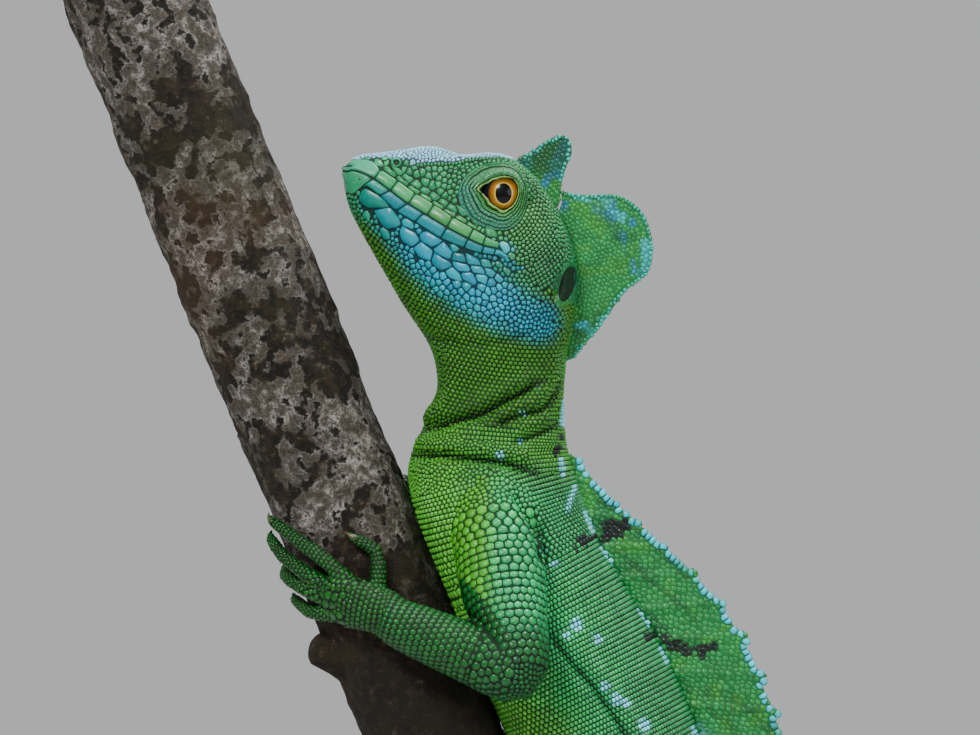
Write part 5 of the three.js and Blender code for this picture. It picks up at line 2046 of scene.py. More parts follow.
class Coat:
    """Turns sites into joined meshes of scales."""

    SINK = 0.08
    TALLEST = 0.24
    MOST_FACES = 190_000
    PATCH = 0.0015
    SPREAD = 0.12
    CAST = 0.05
    SHORTEST = 0.3

    def __init__(self, markings: Markings, skin: Surface) -> None:
        """Keeps the markings that the scales wear and the skin that large plates hug."""
        self.markings = markings
        self.skin = skin

    def reaches(self, sites: dict[str, Array]) -> Array:
        """Works out how far each scale reaches in each of its directions before it meets its neighbours.

        Args:
            sites: The sites.

        Returns:
            One row for each site, with as many distances as its style has directions, and the rest empty.
        """
        points, sizes = sites["points"], sites["sizes"]
        longs = sizes * sites["stretches"]
        tree = make_tree(points)
        result = np.zeros((len(points), max(len(style.angles) for style in STYLES)))
        normals, along = sites["normals"], sites["along"]
        side = np.cross(normals, along)
        for number, style in enumerate(STYLES):
            rows = np.nonzero(sites["styles"] == number)[0]
            if len(rows) == 0:
                continue
            found = [tree.find_n(point, style.near + 1) for point in points[rows].tolist()]
            index = np.array([[hit[1] for hit in hits] for hits in found])[:, 1:]
            away = points[index] - points[rows][:, None]
            alike = (normals[index] * normals[rows][:, None]).sum(axis=2) > 0.2
            across = (away * side[rows][:, None]).sum(axis=2)
            forward = (away * along[rows][:, None]).sum(axis=2)
            wide, long = sizes[rows][:, None], longs[rows][:, None]
            mine = np.hypot(across / wide, forward / long)
            their_across = (away * side[index]).sum(axis=2) / sizes[index]
            theirs = np.hypot(their_across, (away * along[index]).sum(axis=2) / longs[index])
            share = theirs / np.maximum(mine + theirs, 1e-6)
            way_across, way_forward = across / wide**2, forward / long**2
            top = share * (across * way_across + forward * way_forward)
            for k, angle in enumerate(np.radians(style.angles)):
                toward = math.cos(angle) * way_across + math.sin(angle) * way_forward
                ahead = (toward > 1e-3) & alike
                meet = np.where(ahead, top / np.maximum(toward, 1e-3), 1e3).min(axis=1)
                own = 1.0 / np.hypot(math.cos(angle) / wide[:, 0], math.sin(angle) / long[:, 0])
                result[rows, k] = np.clip(meet, own * self.SHORTEST, own * style.limit) * 0.98 - style.groove
        return result

    def build(self, name: str, sites: dict[str, Array], reaches: Array) -> list[bpy.types.Object]:
        """Makes the meshes of one group of sites.

        Args:
            name: The first part of the pieces' names.
            sites: The sites.
            reaches: How far each scale reaches.

        Returns:
            The pieces, each with at most MOST_FACES faces.
        """
        pieces = []
        for number, style in enumerate(STYLES):
            rows = np.nonzero(sites["styles"] == number)[0]
            if len(rows) == 0:
                continue
            parts = math.ceil(len(rows) * 3 * len(style.angles) / self.MOST_FACES)
            for part, chunk in enumerate(np.array_split(rows, parts)):
                label = f"{name}_{style.name}" + (f"_{part + 1}" if parts > 1 else "")
                pieces.append(self._scales(label, keep_only(sites, chunk), reaches[chunk], style))
        return pieces

    def _scales(
        self, name: str, sites: dict[str, Array], reaches: Array, style: ScaleStyle
    ) -> bpy.types.Object:
        """Makes one mesh of scales of one style.

        Args:
            name: The piece's name.
            sites: The roots.
            reaches: How far each scale reaches.
            style: The style.

        Returns:
            The piece.
        """
        angles = np.radians(style.angles)
        points, normals, along = (sites[name][:, None] for name in ("points", "normals", "along"))
        side = np.cross(normals, along)
        toward = np.cos(angles)[None, :, None] * side + np.sin(angles)[None, :, None] * along
        reach = reaches[:, : len(angles), None]
        rise = np.minimum(sites["sizes"] * style.height, self.TALLEST)[:, None, None]
        lean = np.sin(angles)[None, :, None] * sites["sizes"][:, None, None] * style.tilt
        inner = np.maximum(reach - style.bevel, reach * 0.5) if style.bevel else reach * style.shoulder
        outer = points + toward * reach - normals * self.SINK
        middle = points + toward * inner + normals * (rise * 0.8 + lean)
        if style.hugs:
            outer = self._hug(outer, -self.SINK)
            middle = self._hug(middle, rise * 0.9)
        top = points + normals * rise
        # Painted light and shade: the top is lightened a little as a painted highlight, and the outer ring is
        # darkened by the style's dark share, partly the darker skin's own colour and partly painted shade in
        # the groove.
        return self.assemble(name, top, [middle, outer], (1.06, 1.0, style.dark), sites)

    def assemble(
        self, name: str, tops: Array, rings: list[Array], shades: Sequence[float], sites: dict[str, Array]
    ) -> bpy.types.Object:
        """Joins the rings of many scales into one mesh, with its colours and its bake map.

        Args:
            name: The piece's name.
            tops: One point for each scale, shaped (count, 1, 3).
            rings: Outlines of one length, from the innermost out, each shaped (count, sides, 3).
            shades: How light the top and each ring are painted: the lighter top is a painted highlight and
                the darker outer ring painted shade in the groove.
            sites: The roots.

        Returns:
            The piece.
        """
        count, sides = rings[0].shape[:2]
        block = np.concatenate((tops, *rings), axis=1).reshape(-1, 3)
        near = 1 + np.arange(sides)
        faces = [np.stack((np.zeros(sides, int), near, np.roll(near, -1)), axis=1)]
        for _ in rings[1:]:
            far = near + sides
            faces.append(np.stack((near, far, np.roll(far, -1)), axis=1))
            faces.append(np.stack((near, np.roll(far, -1), np.roll(near, -1)), axis=1))
            near = far
        size = 1 + sides * len(rings)
        one = np.concatenate(faces)
        obj = mesh_object(name, block, (one[None] + np.arange(count)[:, None, None] * size).reshape(-1, 3))
        draw = np.random.default_rng(len(name) + count)
        tones = np.clip(draw.normal(1.0, self.SPREAD, (count, 1)), 0.7, 1.3)
        casts = 1.0 + draw.normal(0.0, self.CAST, (count, 3))
        colours = self.markings.paint(sites["points"], sites["regions"]) * tones * casts
        shade = np.repeat(np.array(shades), [1] + [sides] * len(rings))
        paint_mesh(obj, (colours[:, None] * shade[None, :, None]).reshape(-1, 3))
        self._bake_map(obj, sites, sides, len(rings))
        return obj

    def _hug(self, points: Array, height: Any) -> Array:
        """Brings points of large plates to a height over the skin.

        Args:
            points: Places in the model's frame.
            height: The height over the skin.

        Returns:
            The places at that height.
        """
        shape = points.shape
        places, normals, _ = self.skin.nearest(points.reshape(-1, 3))
        return places.reshape(shape) + normals.reshape(shape) * height

    def _bake_map(self, obj: bpy.types.Object, sites: dict[str, Array], sides: int, rings: int) -> None:
        """Adds the UV map in which each scale is a small patch at its root's place on the skin's unwrap.

        Args:
            obj: The piece.
            sites: The scales' roots.
            sides: How many corners an outline has.
            rings: How many outlines a scale has.
        """
        roots = unwrap(sites["points"], sites["regions"])
        turns = np.linspace(0, 2 * math.pi, sides, endpoint=False)
        ring = directions(turns) * self.PATCH
        patch = np.vstack([(0, 0)] + [ring * (k + 1) / rings for k in range(rings)])
        places = (roots[:, None] + patch[None]).reshape(-1, 2)
        corners = np.empty(len(obj.data.loops), dtype=np.int32)
        obj.data.loops.foreach_get("vertex_index", corners)
        layer = obj.data.uv_layers.new(name="OFBake")
        layer.data.foreach_set("uv", places[corners].astype(np.float32).ravel())

    def lips(self, plates: HeadPlates) -> list[bpy.types.Object]:
        """Makes the lips' plates of both sides, one piece a side.

        Args:
            plates: What draws the lips' plates.

        Returns:
            The pieces.
        """
        pieces = []
        for side in Side:
            patches = plates.lip_patches(side)
            outlines = np.array([outline for outline, _ in patches])
            rises = np.array([rise for _, rise in patches])
            middles = outlines[:, 2].mean(axis=1)
            points, normals, _ = self.skin.nearest(middles)
            sites = {"points": points, "regions": np.full(len(points), Region.HEAD.value)}
            tops = points + normals * rises[:, None]
            rings = [outlines[:, 2], outlines[:, 1], outlines[:, 0]]
            if side is Side.RIGHT:
                rings = [ring[:, ::-1] for ring in rings]
            name = f"scales_lips_{side.name.lower()}"
            # Painted light and shade: the top a little lighter, the outer ring nearly black, partly dark skin
            # between the plates and partly painted shade in the groove.
            pieces.append(self.assemble(name, tops[:, None], rings, (1.04, 1.0, 0.95, 0.05), sites))
        return pieces


def unwrap(points: Array, regions: Array) -> Array:
    """Unrolls the skin's own shape: the trunk along and round its axis below, the limbs and crests above.

    Args:
        points: Places in the model's frame.
        regions: The value of each place's Region.

    Returns:
        UV places between 0 and 1.
    """
    local = points - DATUM
    line = smooth_line(HEAD_AXIS + NECK_AXIS[1:] + TORSO_AXIS[1:] + TAIL_AXIS[1:], 200)
    _, run, nearest = polyline_gap(local, line)
    steps = unit(np.diff(line, axis=0))[nearest]
    off = local - line[nearest]
    turn = np.arctan2(off[:, 1], (off * dorsal(steps)).sum(axis=1)) / (2 * math.pi) + 0.5
    result = np.stack((0.01 + 0.98 * run / line_length(line), 0.01 + 0.53 * turn), axis=1)
    lines = [np.array(path, float) for path in LIMBS.values()]
    bands = [(Region.ARM, Region.LEG)] * len(lines)
    for (region, _), grip in GRIPS.items():
        longest = max(DIGITS[region], key=len)
        lines.append(np.vstack((palm_path(region, grip), digit_path(region, grip, longest)[1:])))
        bands.append((Region.HAND, Region.FOOT))
    best = np.full(len(points), 1e9)
    for i, (path, kinds) in enumerate(zip(lines, bands)):
        gap, run, nearest = polyline_gap(local, path)
        mine = within(regions, *kinds) & (gap < best)
        best[mine] = gap[mine]
        off = local - path[nearest]
        along = unit(np.diff(path, axis=0))[nearest]
        up = unit(np.cross(along, (0.31, 0.2, 0.93)))
        sideways = (off * np.cross(along, up)).sum(axis=1)
        turn = np.arctan2(sideways, (off * up).sum(axis=1)) / (2 * math.pi) + 0.5
        column, row = i % 4, i // 4
        u = 0.01 + 0.245 * column + 0.22 * run / line_length(path)
        v = 0.56 + 0.09 * row + 0.08 * turn
        result[mine] = np.stack((u, v), axis=1)[mine]
    crest = within(regions, Region.CREST, Region.EDGE)
    u = 0.02 + 0.47 * (local[:, 0] + 5) / 80 + np.where(local[:, 1] > 0, 0.5, 0.0)
    v = 0.84 + 0.15 * (40 - local[:, 2]) / 380
    result[crest] = np.stack((u, v), axis=1)[crest]
    return result


@dataclass
class Crests:
    """The upright membranes of the head, back and tail, with their own small scales and pale rim."""

    frame: dict[str, Any]
    lean: float = math.radians(27)
    root_depth: float = 0.9
    lobe_spacing: float = 0.74
    lobe_turn: float = math.radians(-14)
    tallest: float = 18.0
    seam: float = 1.4

    def build(self, skin: Surface) -> list[bpy.types.Object]:
        """Makes one smooth membrane for each packed crest, rooted in the skin.

        Args:
            skin: The skin that they grow from.

        Returns:
            The membranes.
        """
        pieces = []
        for node in CREST_NODES:
            membrane = copy_nodes(node.replace("crest", "membrane"), (node,), self.frame)
            apply_modifier(membrane, "SUBSURF", subdivision_type="SIMPLE", levels=2, render_levels=2)
            apply_modifier(membrane, "SMOOTH", factor=0.5, iterations=2)
            surface = Surface(membrane)
            places, normals, gaps = skin.nearest(surface.points)
            sunk = smoothstep(1.3, 0.5, gaps)[:, None]
            sideless = (places - normals * self.root_depth - surface.points) * (1.0, 0.0, 1.0)
            move_points(membrane, surface.points + sideless * sunk)
            select_only(membrane)
            bpy.ops.object.shade_smooth()
            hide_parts(node)
            pieces.append(membrane)
        return pieces

    def _both_faces(self, surface: Surface, places: Array, forward: Array, size: float, sites: Sites) -> None:
        """Sets scales on both faces of a membrane at places of the side view.

        Args:
            surface: The membrane.
            places: Places in the middle of the membrane.
            forward: The direction of each scale.
            size: Their half width.
            sites: Where the roots are added.
        """
        for side in Side:
            origins = places + (0.0, side.value * 30.0, 0.0)
            points, normals, met = surface.cast(origins, repeat((0.0, -side.value, 0.0), len(places)), 30.0)
            met &= np.abs(normals[:, 1]) > 0.5
            sites.add(points[met], normals[met], forward[met], size, FRILL, Region.CREST)

    def lobe_sites(self, surface: Surface, sites: Sites) -> None:
        """Covers the two lobes of the head with small scales in rows that fan back from the crown.

        Args:
            surface: The membrane.
            sites: Where the roots are added.
        """
        spacing, turn = self.lobe_spacing, self.lobe_turn
        rows = []
        for i, x in enumerate(np.arange(-22.0, 52.0, spacing * 0.87)):
            for z in np.arange(-30.0, 62.0, spacing):
                rows.append((x, z + 0.5 * spacing * (i % 2)))
        grid = np.array(rows)
        x = grid[:, 0] * math.cos(turn) - grid[:, 1] * math.sin(turn)
        z = grid[:, 0] * math.sin(turn) + grid[:, 1] * math.cos(turn)
        inside = (x > 1.0) & (x < 28.0) & (z > -2.0) & (z < 39.0)
        places = place(spread(np.stack((x, z), axis=1)[inside]))
        places[:, (0, 2)] += np.random.default_rng(SEED).normal(0, 0.1, (len(places), 2))
        self._both_faces(surface, places, repeat((0.8, 0.0, 0.6), len(places)), spacing * 0.5, sites)

    def ray_sites(self, surface: Surface, skin: Surface, axis: Axis, pitch: float, sites: Sites) -> None:
        """Covers a crest of rays with rows that run out along the rays.

        Args:
            surface: The membrane.
            skin: The skin that it grows from.
            axis: The body's axis beneath it.
            pitch: The distance between scales along a row.
            sites: Where the roots are added.
        """
        centres, along, upward, _ = axis.stations()
        roots, _, met = skin.cast(centres, upward, 40.0)
        toward = math.cos(self.lean) * upward + math.sin(self.lean) * along
        places, forward = [], []
        for i in np.nonzero(met)[0]:
            out = np.arange(0.2 + 0.5 * pitch * (i % 2), self.tallest, pitch)
            places.append(roots[i] + toward[i] * out[:, None])
            forward.append(np.tile(toward[i], (len(out), 1)))
        spots = np.vstack(places)
        spots[:, (0, 2)] += np.random.default_rng(SEED).normal(0, 0.13, (len(spots), 2))
        self._both_faces(surface, spots, np.vstack(forward), axis.step * 0.5, sites)

    def edge_sites(
        self, surface: Surface, skin: Surface, others: Sequence[Surface], sites: Sites, spacing: float = 1.15
    ) -> None:
        """Sets a row of larger pale scales along a crest's free edge.

        Args:
            surface: The membrane.
            skin: The skin that it grows from.
            others: The other membranes, which end the row where they touch this one.
            sites: Where the roots are added.
            spacing: The distance between them.
        """
        flat = surface.points[:, (0, 2)]
        cells = np.round(flat / 0.5).astype(int)
        kept = np.unique(cells, axis=0, return_index=True)[1]
        _, _, gaps = skin.nearest(surface.points[kept])
        sparse = np.zeros(len(kept))
        for step in directions(np.arange(0, 2 * math.pi, math.pi / 8)):
            sparse += ~self._inside(surface, flat[kept] + 0.75 * step)
        rim = kept[(sparse >= 5) & (gaps > 1.2)]
        for other in others:
            rim = rim[other.nearest(surface.points[rim])[2] > self.seam]
        chosen: list[int] = []
        for i in rim:
            if all(np.linalg.norm(flat[i] - flat[j]) > spacing * 0.8 for j in chosen):
                chosen.append(int(i))
        middle = surface.points.mean(axis=0)
        points = surface.points[chosen]
        for point in points:
            beside = np.linalg.norm(flat - point[[0, 2]], axis=1) < 1.5
            point[1] = surface.points[beside, 1].mean()
        forward = unit((points - middle) * (1.0, 0.0, 1.0))
        points = points - forward * spacing * 0.42
        for side in Side:
            normals = repeat((0.0, side.value, 0.0), len(points))
            sites.add(points + normals * 0.42, normals, forward, spacing * 0.52, EDGING, Region.EDGE)

    def _inside(self, surface: Surface, flat: Array) -> Array:
        """Tells whether places of the side view are on the membrane, by a ray across it at each."""
        return surface.cast(spread(flat, -60.0), repeat((0.0, 1.0, 0.0), len(flat)), 120.0)[2]


@dataclass
class Eyes:
    """The two eyes: a dark ball with an amber iris, a tall pupil and a bulging front."""

    iris: float = 2.58
    pupil: tuple[float, float] = (1.3, 1.62)

    def centre(self, side: Side) -> Array:
        """Gives an eyeball's middle, in the model's frame."""
        return place((EYE_CENTRE[0], side.value * EYE_CENTRE[1], EYE_CENTRE[2]))

    def build(self, side: Side) -> bpy.types.Object:
        """Makes one eyeball with the cornea's low bulge, marked from its pole for the finish.

        Args:
            side: Which eye.

        Returns:
            The eye.
        """
        centre = self.centre(side)
        select_none()
        bpy.ops.mesh.primitive_uv_sphere_add(segments=72, ring_count=48, radius=EYE_RADIUS * MM)
        ball = newest(f"eyeball_{side.name.lower()}")
        ball.rotation_euler = (side.value * -math.pi / 2, 0, 0)
        ball.location = Vector(centre * MM)
        bpy.ops.object.transform_apply(location=True, rotation=True, scale=True)
        bpy.ops.object.shade_smooth()
        surface = Surface(ball)
        off = surface.points - centre
        out = off[:, 1] * side.value
        across, tall = off[:, 0] - 0.12, off[:, 2]
        wide = np.hypot(across, tall)
        bulge = 0.3 * np.clip(1 - (wide / 2.9) ** 2, 0, 1) * (out > 0)
        move_points(ball, surface.points + unit(off) * (bulge - 0.05)[:, None])
        keep_values(ball, "iris_reach", np.where(out > 0, wide, 9.0))
        hole = np.hypot(across / self.pupil[0], tall / self.pupil[1])
        keep_values(ball, "pupil_reach", np.where(out > 0, hole, 9.0))
        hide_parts(f"eye_{side.name.lower()}")
        return ball


@dataclass
class Claws:
    """The claws: dark horn hooks over the tips of the digits."""

    shape: tuple[tuple[float, float, float], ...] = (
        (0.35, 0.0, 0.74),
        (1.1, -0.14, 0.66),
        (1.9, 0.02, 0.46),
        (2.6, 0.36, 0.27),
        (3.1, 0.75, 0.07),
    )

    def build(self, region: Region, side: Side) -> bpy.types.Object:
        """Makes the five claws of one hand or foot.

        Args:
            region: Hand or foot.
            side: Which side.

        Returns:
            The claws, joined.
        """
        grip = GRIPS[(region, side)]
        tip_radius = DIGIT_RADII[region][1]
        curve = bpy.data.curves.new("claw_path", "CURVE")
        curve.dimensions = "3D"
        curve.bevel_depth = MM
        curve.bevel_resolution = 3
        curve.use_fill_caps = True
        for stops in DIGITS[region]:
            path = digit_path(region, grip, stops)
            onward = unit(path[-1] - path[-2])
            inward = unit(perch_point(side, *held(region, grip, *stops[-1]), 0.0) - path[-1])
            spline = curve.splines.new("POLY")
            hook = smooth_line([path[-1] + onward * a + inward * b for a, b, _ in self.shape], 12)
            sizes = [size for _, _, size in self.shape]
            radii = np.interp(np.linspace(0, 1, 12), np.linspace(0, 1, len(sizes)), sizes)
            spline.points.add(len(hook) - 1)
            for point, where, radius in zip(spline.points, place(hook) * MM, radii * tip_radius):
                point.co = (*where, 1.0)
                point.radius = radius
        name = f"claws_{region.name.lower()}_{side.name.lower()}"
        obj = bpy.data.objects.new(name, curve)
        bpy.context.scene.collection.objects.link(obj)
        select_only(obj)
        bpy.ops.object.convert(target="MESH")
        bpy.ops.object.shade_smooth()
        obj.data.name = name
        return obj


class Socket:
    """A value in a material, on which Python's operators add Math nodes."""

    def __init__(self, builder: "Builder", link: Any) -> None:
        """Wraps an output socket of a material under construction."""
        self.builder = builder
        self.link = link

    def _math(self, operation: str, *values: Any) -> "Socket":
        """Adds one Math node."""
        inputs = {i: value for i, value in enumerate(values)}
        return self.builder.node("ShaderNodeMath", {"operation": operation}, inputs)

    def __add__(self, other: Any) -> "Socket":
        """Adds."""
        return self._math("ADD", self, other)

    __radd__ = __add__

    def __sub__(self, other: Any) -> "Socket":
        """Takes away."""
        return self._math("SUBTRACT", self, other)

    def __rsub__(self, other: Any) -> "Socket":
        """Takes this away from a number."""
        return self._math("SUBTRACT", other, self)

    def __mul__(self, other: Any) -> "Socket":
        """Multiplies."""
        return self._math("MULTIPLY", self, other)

    __rmul__ = __mul__

    def __truediv__(self, other: Any) -> "Socket":
        """Divides."""
        return self._math("DIVIDE", self, other)

    def step(self, low: float, high: float) -> "Socket":
        """Rises smoothly from 0 to 1 between two values.

        Args:
            low: The lower end.
            high: The upper end.

        Returns:
            The value.
        """
        settings = {"interpolation_type": "SMOOTHSTEP", "clamp": True}
        inputs = {"Value": self, "From Min": low, "From Max": high}
        return self.builder.node("ShaderNodeMapRange", settings, inputs)


def set_stops(ramp: Any, stops: Sequence[tuple[float, Sequence[float]]]) -> None:
    """Sets a colour ramp's stops.

    Args:
        ramp: The ramp.
        stops: Positions with their colours.
    """
    while len(ramp.elements) < len(stops):
        ramp.elements.new(1.0)
    for element, (position, colour) in zip(ramp.elements, stops):
        element.position = position
        element.color = (*colour[:3], 1.0)


class Builder:
    """A material under construction."""

    def __init__(self, name: str) -> None:
        """Starts a material with one Principled shader.

        Args:
            name: The material's name.
        """
        self.material = bpy.data.materials.new(name)
        self.material.use_nodes = True
        self.tree = self.material.node_tree
        self.shader = next(n for n in self.tree.nodes if n.type == "BSDF_PRINCIPLED")

    def node(self, kind: str, settings: dict[str, Any], inputs: dict[Any, Any], output: Any = 0) -> Socket:
        """Adds one node.

        Args:
            kind: The node's type.
            settings: Its properties; a ramp's stops are given as "stops".
            inputs: Its sockets' values or links, by name or number.
            output: The output to give back, by name or number.

        Returns:
            That output, wrapped.
        """
        node = self.tree.nodes.new(kind)
        for name, value in settings.items():
            if name == "stops":
                set_stops(node.color_ramp, value)
            else:
                setattr(node, name, value)
        for name, value in inputs.items():
            if isinstance(value, Socket):
                self.tree.links.new(value.link, node.inputs[name])
            else:
                node.inputs[name].default_value = value
        return Socket(self, node.outputs[output])

    def attribute(self, name: str, output: str = "Fac") -> Socket:
        """Reads what is kept at the mesh's corners."""
        return self.node("ShaderNodeAttribute", {"attribute_name": name}, {}, output)

    def ramp(self, stops: Sequence[tuple[float, Sequence[float]]], share: Any) -> Socket:
        """Gives a ramp's colour at a share of the way along it."""
        return self.node("ShaderNodeValToRGB", {"stops": stops}, {"Fac": share})

    def height(self, spot: Socket) -> Socket:
        """Gives the upright part of a place."""
        return self.node("ShaderNodeSeparateXYZ", {}, {0: spot}, 2)

    def stretched(self, scale: Sequence[float]) -> Socket:
        """Gives the place on the object, scaled along each axis."""
        return self.node("ShaderNodeMapping", {}, {0: self.place(), 3: scale})

    def mix(self, share: Any, first: Any, second: Any, blend: str = "MIX") -> Socket:
        """Mixes two colours by a share."""
        settings = {"data_type": "RGBA", "blend_type": blend}
        return self.node("ShaderNodeMix", settings, {0: share, 6: first, 7: second}, 2)

    def noise(self, scale: float, detail: float = 3.0, where: Socket | None = None) -> Socket:
        """Adds a noise pattern over the object, with a scale in features per metre."""
        inputs = {"Scale": scale, "Detail": detail, "Vector": where or self.place()}
        return self.node("ShaderNodeTexNoise", {}, inputs)

    def place(self) -> Socket:
        """Gives the place on the object."""
        return self.node("ShaderNodeTexCoord", {}, {}, "Object")

    def bump(self, height: Socket, strength: float, distance: float) -> Socket:
        """Turns a height into a normal."""
        return self.node("ShaderNodeBump", {}, {"Height": height, "Strength": strength, "Distance": distance})

    def finish(self, **values: Any) -> bpy.types.Material:
        """Sets the shader's sockets, named with underscores, and gives the material.

        Args:
            values: The sockets' values or links.

        Returns:
            The material.
        """
        for name, value in values.items():
            socket = self.shader.inputs[name.replace("_", " ")]
            if isinstance(value, Socket):
                self.tree.links.new(value.link, socket)
            else:
                socket.default_value = value
        return self.material


@dataclass(frozen=True)
class HideFinish:
    """Scales and skin: the painted colour with a fine mottle, and a satin gloss; the colour is multiplied
    down where skin lies in the grooves between scales, partly its own darker colour and partly painted shade.
    """

    name: str
    dim: float
    roughness: float
    coat: float
    grains: float = 0.0

    def make(self) -> bpy.types.Material:
        """Builds the material.

        Returns:
            The material.
        """
        build = Builder(self.name)
        paint = build.attribute("hide", "Color")
        fleck = build.noise(2600.0, 2.0)
        # Painted shade: the colour is multiplied down for skin in the grooves between scales, partly the
        # skin's own darker colour.
        groove_shaded = build.mix(1.0, paint, (self.dim,) * 3 + (1.0,), "MULTIPLY")
        grey = build.ramp(((0.3, (0.72,) * 3), (0.7, (1.0,) * 3)), fleck)
        colour = build.mix(0.55, groove_shaded, build.mix(1.0, groove_shaded, grey, "MULTIPLY"))
        rough = fleck * 0.16 + (self.roughness - 0.08)
        normal = build.bump(build.noise(5200.0, 2.0), 0.12, 0.0001)
        if self.grains:
            inputs = {"Vector": build.place(), "Scale": self.grains, "Randomness": 0.8}
            cells = build.node("ShaderNodeTexVoronoi", {}, inputs)
            normal = build.bump(1.0 - cells, 0.55, 0.00025)
        return build.finish(
            Base_Color=colour,
            Roughness=rough,
            Normal=normal,
            Coat_Weight=self.coat,
            Coat_Roughness=0.2,
            Specular_IOR_Level=0.25,
        )


@dataclass(frozen=True)
class EyeFinish:
    """A wet eye: black pupil, amber iris with fine spokes, pale inner ring and dark rim, and the lids' shadow
    painted over the iris's top.
    """

    name: str
    eyes: Eyes
    centre: tuple[float, float, float]

    def make(self) -> bpy.types.Material:
        """Builds the material.

        Returns:
            The material.
        """
        build = Builder(self.name)
        reach = build.attribute("iris_reach")
        hole = build.attribute("pupil_reach")
        middle = tuple(np.array(self.centre) * MM)
        spot = build.node("ShaderNodeVectorMath", {"operation": "SUBTRACT"}, {0: build.place(), 1: middle})
        outward = build.node("ShaderNodeVectorMath", {"operation": "NORMALIZE"}, {0: spot})
        spokes = build.noise(26.0, 4.0, outward)
        stops = (
            (0.0, linear(226, 200, 96)),
            (0.08, linear(200, 160, 50)),
            (0.2, linear(156, 112, 18)),
            (0.65, linear(122, 78, 10)),
            (1.0, linear(50, 30, 6)),
        )
        ramp = build.ramp(stops, (hole - 1.0) / 0.92)
        streaked = build.mix(spokes.step(0.46, 0.72) * 0.55, ramp, tone(96, 50, 4))
        # Painted shadow of the upper lid: the iris darkens towards its top.
        streaked = build.mix(build.height(spot).step(0.0009, 0.0026) * 0.75, streaked, tone(52, 34, 8))
        past = reach.step(self.eyes.iris - 0.1, self.eyes.iris + 0.06)
        white = build.mix(past, streaked, (0.004, 0.006, 0.012, 1.0))
        black = 1.0 - hole.step(0.97, 1.03)
        colour = build.mix(black, white, (0.0015, 0.0015, 0.002, 1.0))
        return build.finish(
            Base_Color=colour, Roughness=0.42, Coat_Weight=0.28, Coat_Roughness=0.02, Specular_IOR_Level=0.08
        )


@dataclass(frozen=True)
class ClawFinish:
    """Dark brown horn, flecked paler by a fine grain."""

    name: str = "claw_horn"

    def make(self) -> bpy.types.Material:
        """Builds the material.

        Returns:
            The material.
        """
        build = Builder(self.name)
        grain = build.noise(900.0, 4.0)
        colour = build.mix(grain, tone(34, 30, 22), tone(96, 84, 56))
        return build.finish(
            Base_Color=colour, Roughness=0.32, Normal=build.bump(grain, 0.15, 0.0001), Coat_Weight=0.2
        )


@dataclass(frozen=True)
class BarkFinish:
    """Dark rough bark with pale lichen, darker and browner low down, and ringed wood at the cut ends."""

    name: str = "bark_lichen"

    def make(self) -> bpy.types.Material:
        """Builds the material.

        Returns:
            The material.
        """
        build = Builder(self.name)
        coarse = build.noise(75.0, 5.0)
        fine = build.noise(560.0, 8.0)
        grain = build.noise(2000.0, 5.0)
        blots = build.noise(250.0, 5.0)
        low = build.height(build.place()).step(0.44, 0.405)
        bark = build.mix(fine.step(0.35, 0.7), tone(8, 6, 3), tone(42, 34, 20))
        bark = build.mix(grain.step(0.55, 0.78) * 0.6, bark, tone(84, 74, 50))
        lichen = build.mix(grain.step(0.3, 0.7), tone(60, 56, 46), tone(156, 150, 144))
        share = (coarse * 0.42 + blots * 0.5 + fine * 0.4 - low * 0.14).step(0.64, 0.685)
        pits = (fine * 0.6 + grain * 0.4 + blots * 0.2).step(0.585, 0.66)
        share = share - share * pits * 0.85
        colour = build.mix(share * 0.9, bark, lichen)
        moss = build.noise(48.0, 4.0).step(0.52, 0.68) * 0.35
        colour = build.mix(moss, colour, tone(34, 40, 14))
        warm = build.noise(30.0, 3.0).step(0.5, 0.65) * 0.15
        colour = build.mix(warm, colour, tone(88, 62, 36))
        colour = build.mix(low * 0.6, colour, tone(20, 14, 9))
        ends = build.attribute("cut_end")
        rings = build.attribute("ring_reach")
        wave = build.node("ShaderNodeMath", {"operation": "SINE"}, {0: rings * 7.5 + coarse * 5.0})
        wood = build.mix(wave * 0.5 + 0.5, tone(150, 112, 70), tone(196, 160, 112))
        colour = build.mix(ends, colour, wood)
        relief = fine * 0.7 + grain * 0.4 + share * 0.3 - pits * 0.4
        return build.finish(
            Base_Color=colour,
            Roughness=0.92 - share * 0.12,
            Normal=build.bump(relief, 0.85, 0.0008),
            Specular_IOR_Level=0.3,
        )


@dataclass(frozen=True)
class BoardFinish:
    """Dark oiled hardwood with its grain along the board."""

    name: str = "board_oiled"

    def make(self) -> bpy.types.Material:
        """Builds the material.

        Returns:
            The material.
        """
        build = Builder(self.name)
        stretched = build.stretched((1.2, 16.0, 16.0))
        figure = build.noise(9.0, 6.0, stretched)
        pores = build.noise(70.0, 3.0, stretched)
        stops = ((0.3, linear(34, 20, 13)), (0.52, linear(62, 38, 24)), (0.72, linear(92, 60, 38)))
        colour = build.ramp(stops, figure * 0.75 + pores * 0.25)
        return build.finish(
            Base_Color=colour,
            Roughness=pores * 0.15 + 0.34,
            Normal=build.bump(pores, 0.12, 0.0003),
            Coat_Weight=0.15,
            Coat_Roughness=0.25,
        )


@dataclass(frozen=True)
class SteelFinish:
    """Brushed steel, with the brushing round the rod."""

    name: str = "rod_brushed"

    def make(self) -> bpy.types.Material:
        """Builds the material.

        Returns:
            The material.
        """
        build = Builder(self.name)
        stretched = build.stretched((1.0, 1.0, 60.0))
        brush = build.noise(60.0, 3.0, stretched)
        return build.finish(
            Base_Color=build.mix(brush, (0.42, 0.43, 0.45, 1.0), (0.6, 0.61, 0.63, 1.0)),
            Metallic=1.0,
            Roughness=brush * 0.16 + 0.24,
            Normal=build.bump(brush, 0.05, 0.0002),
        )


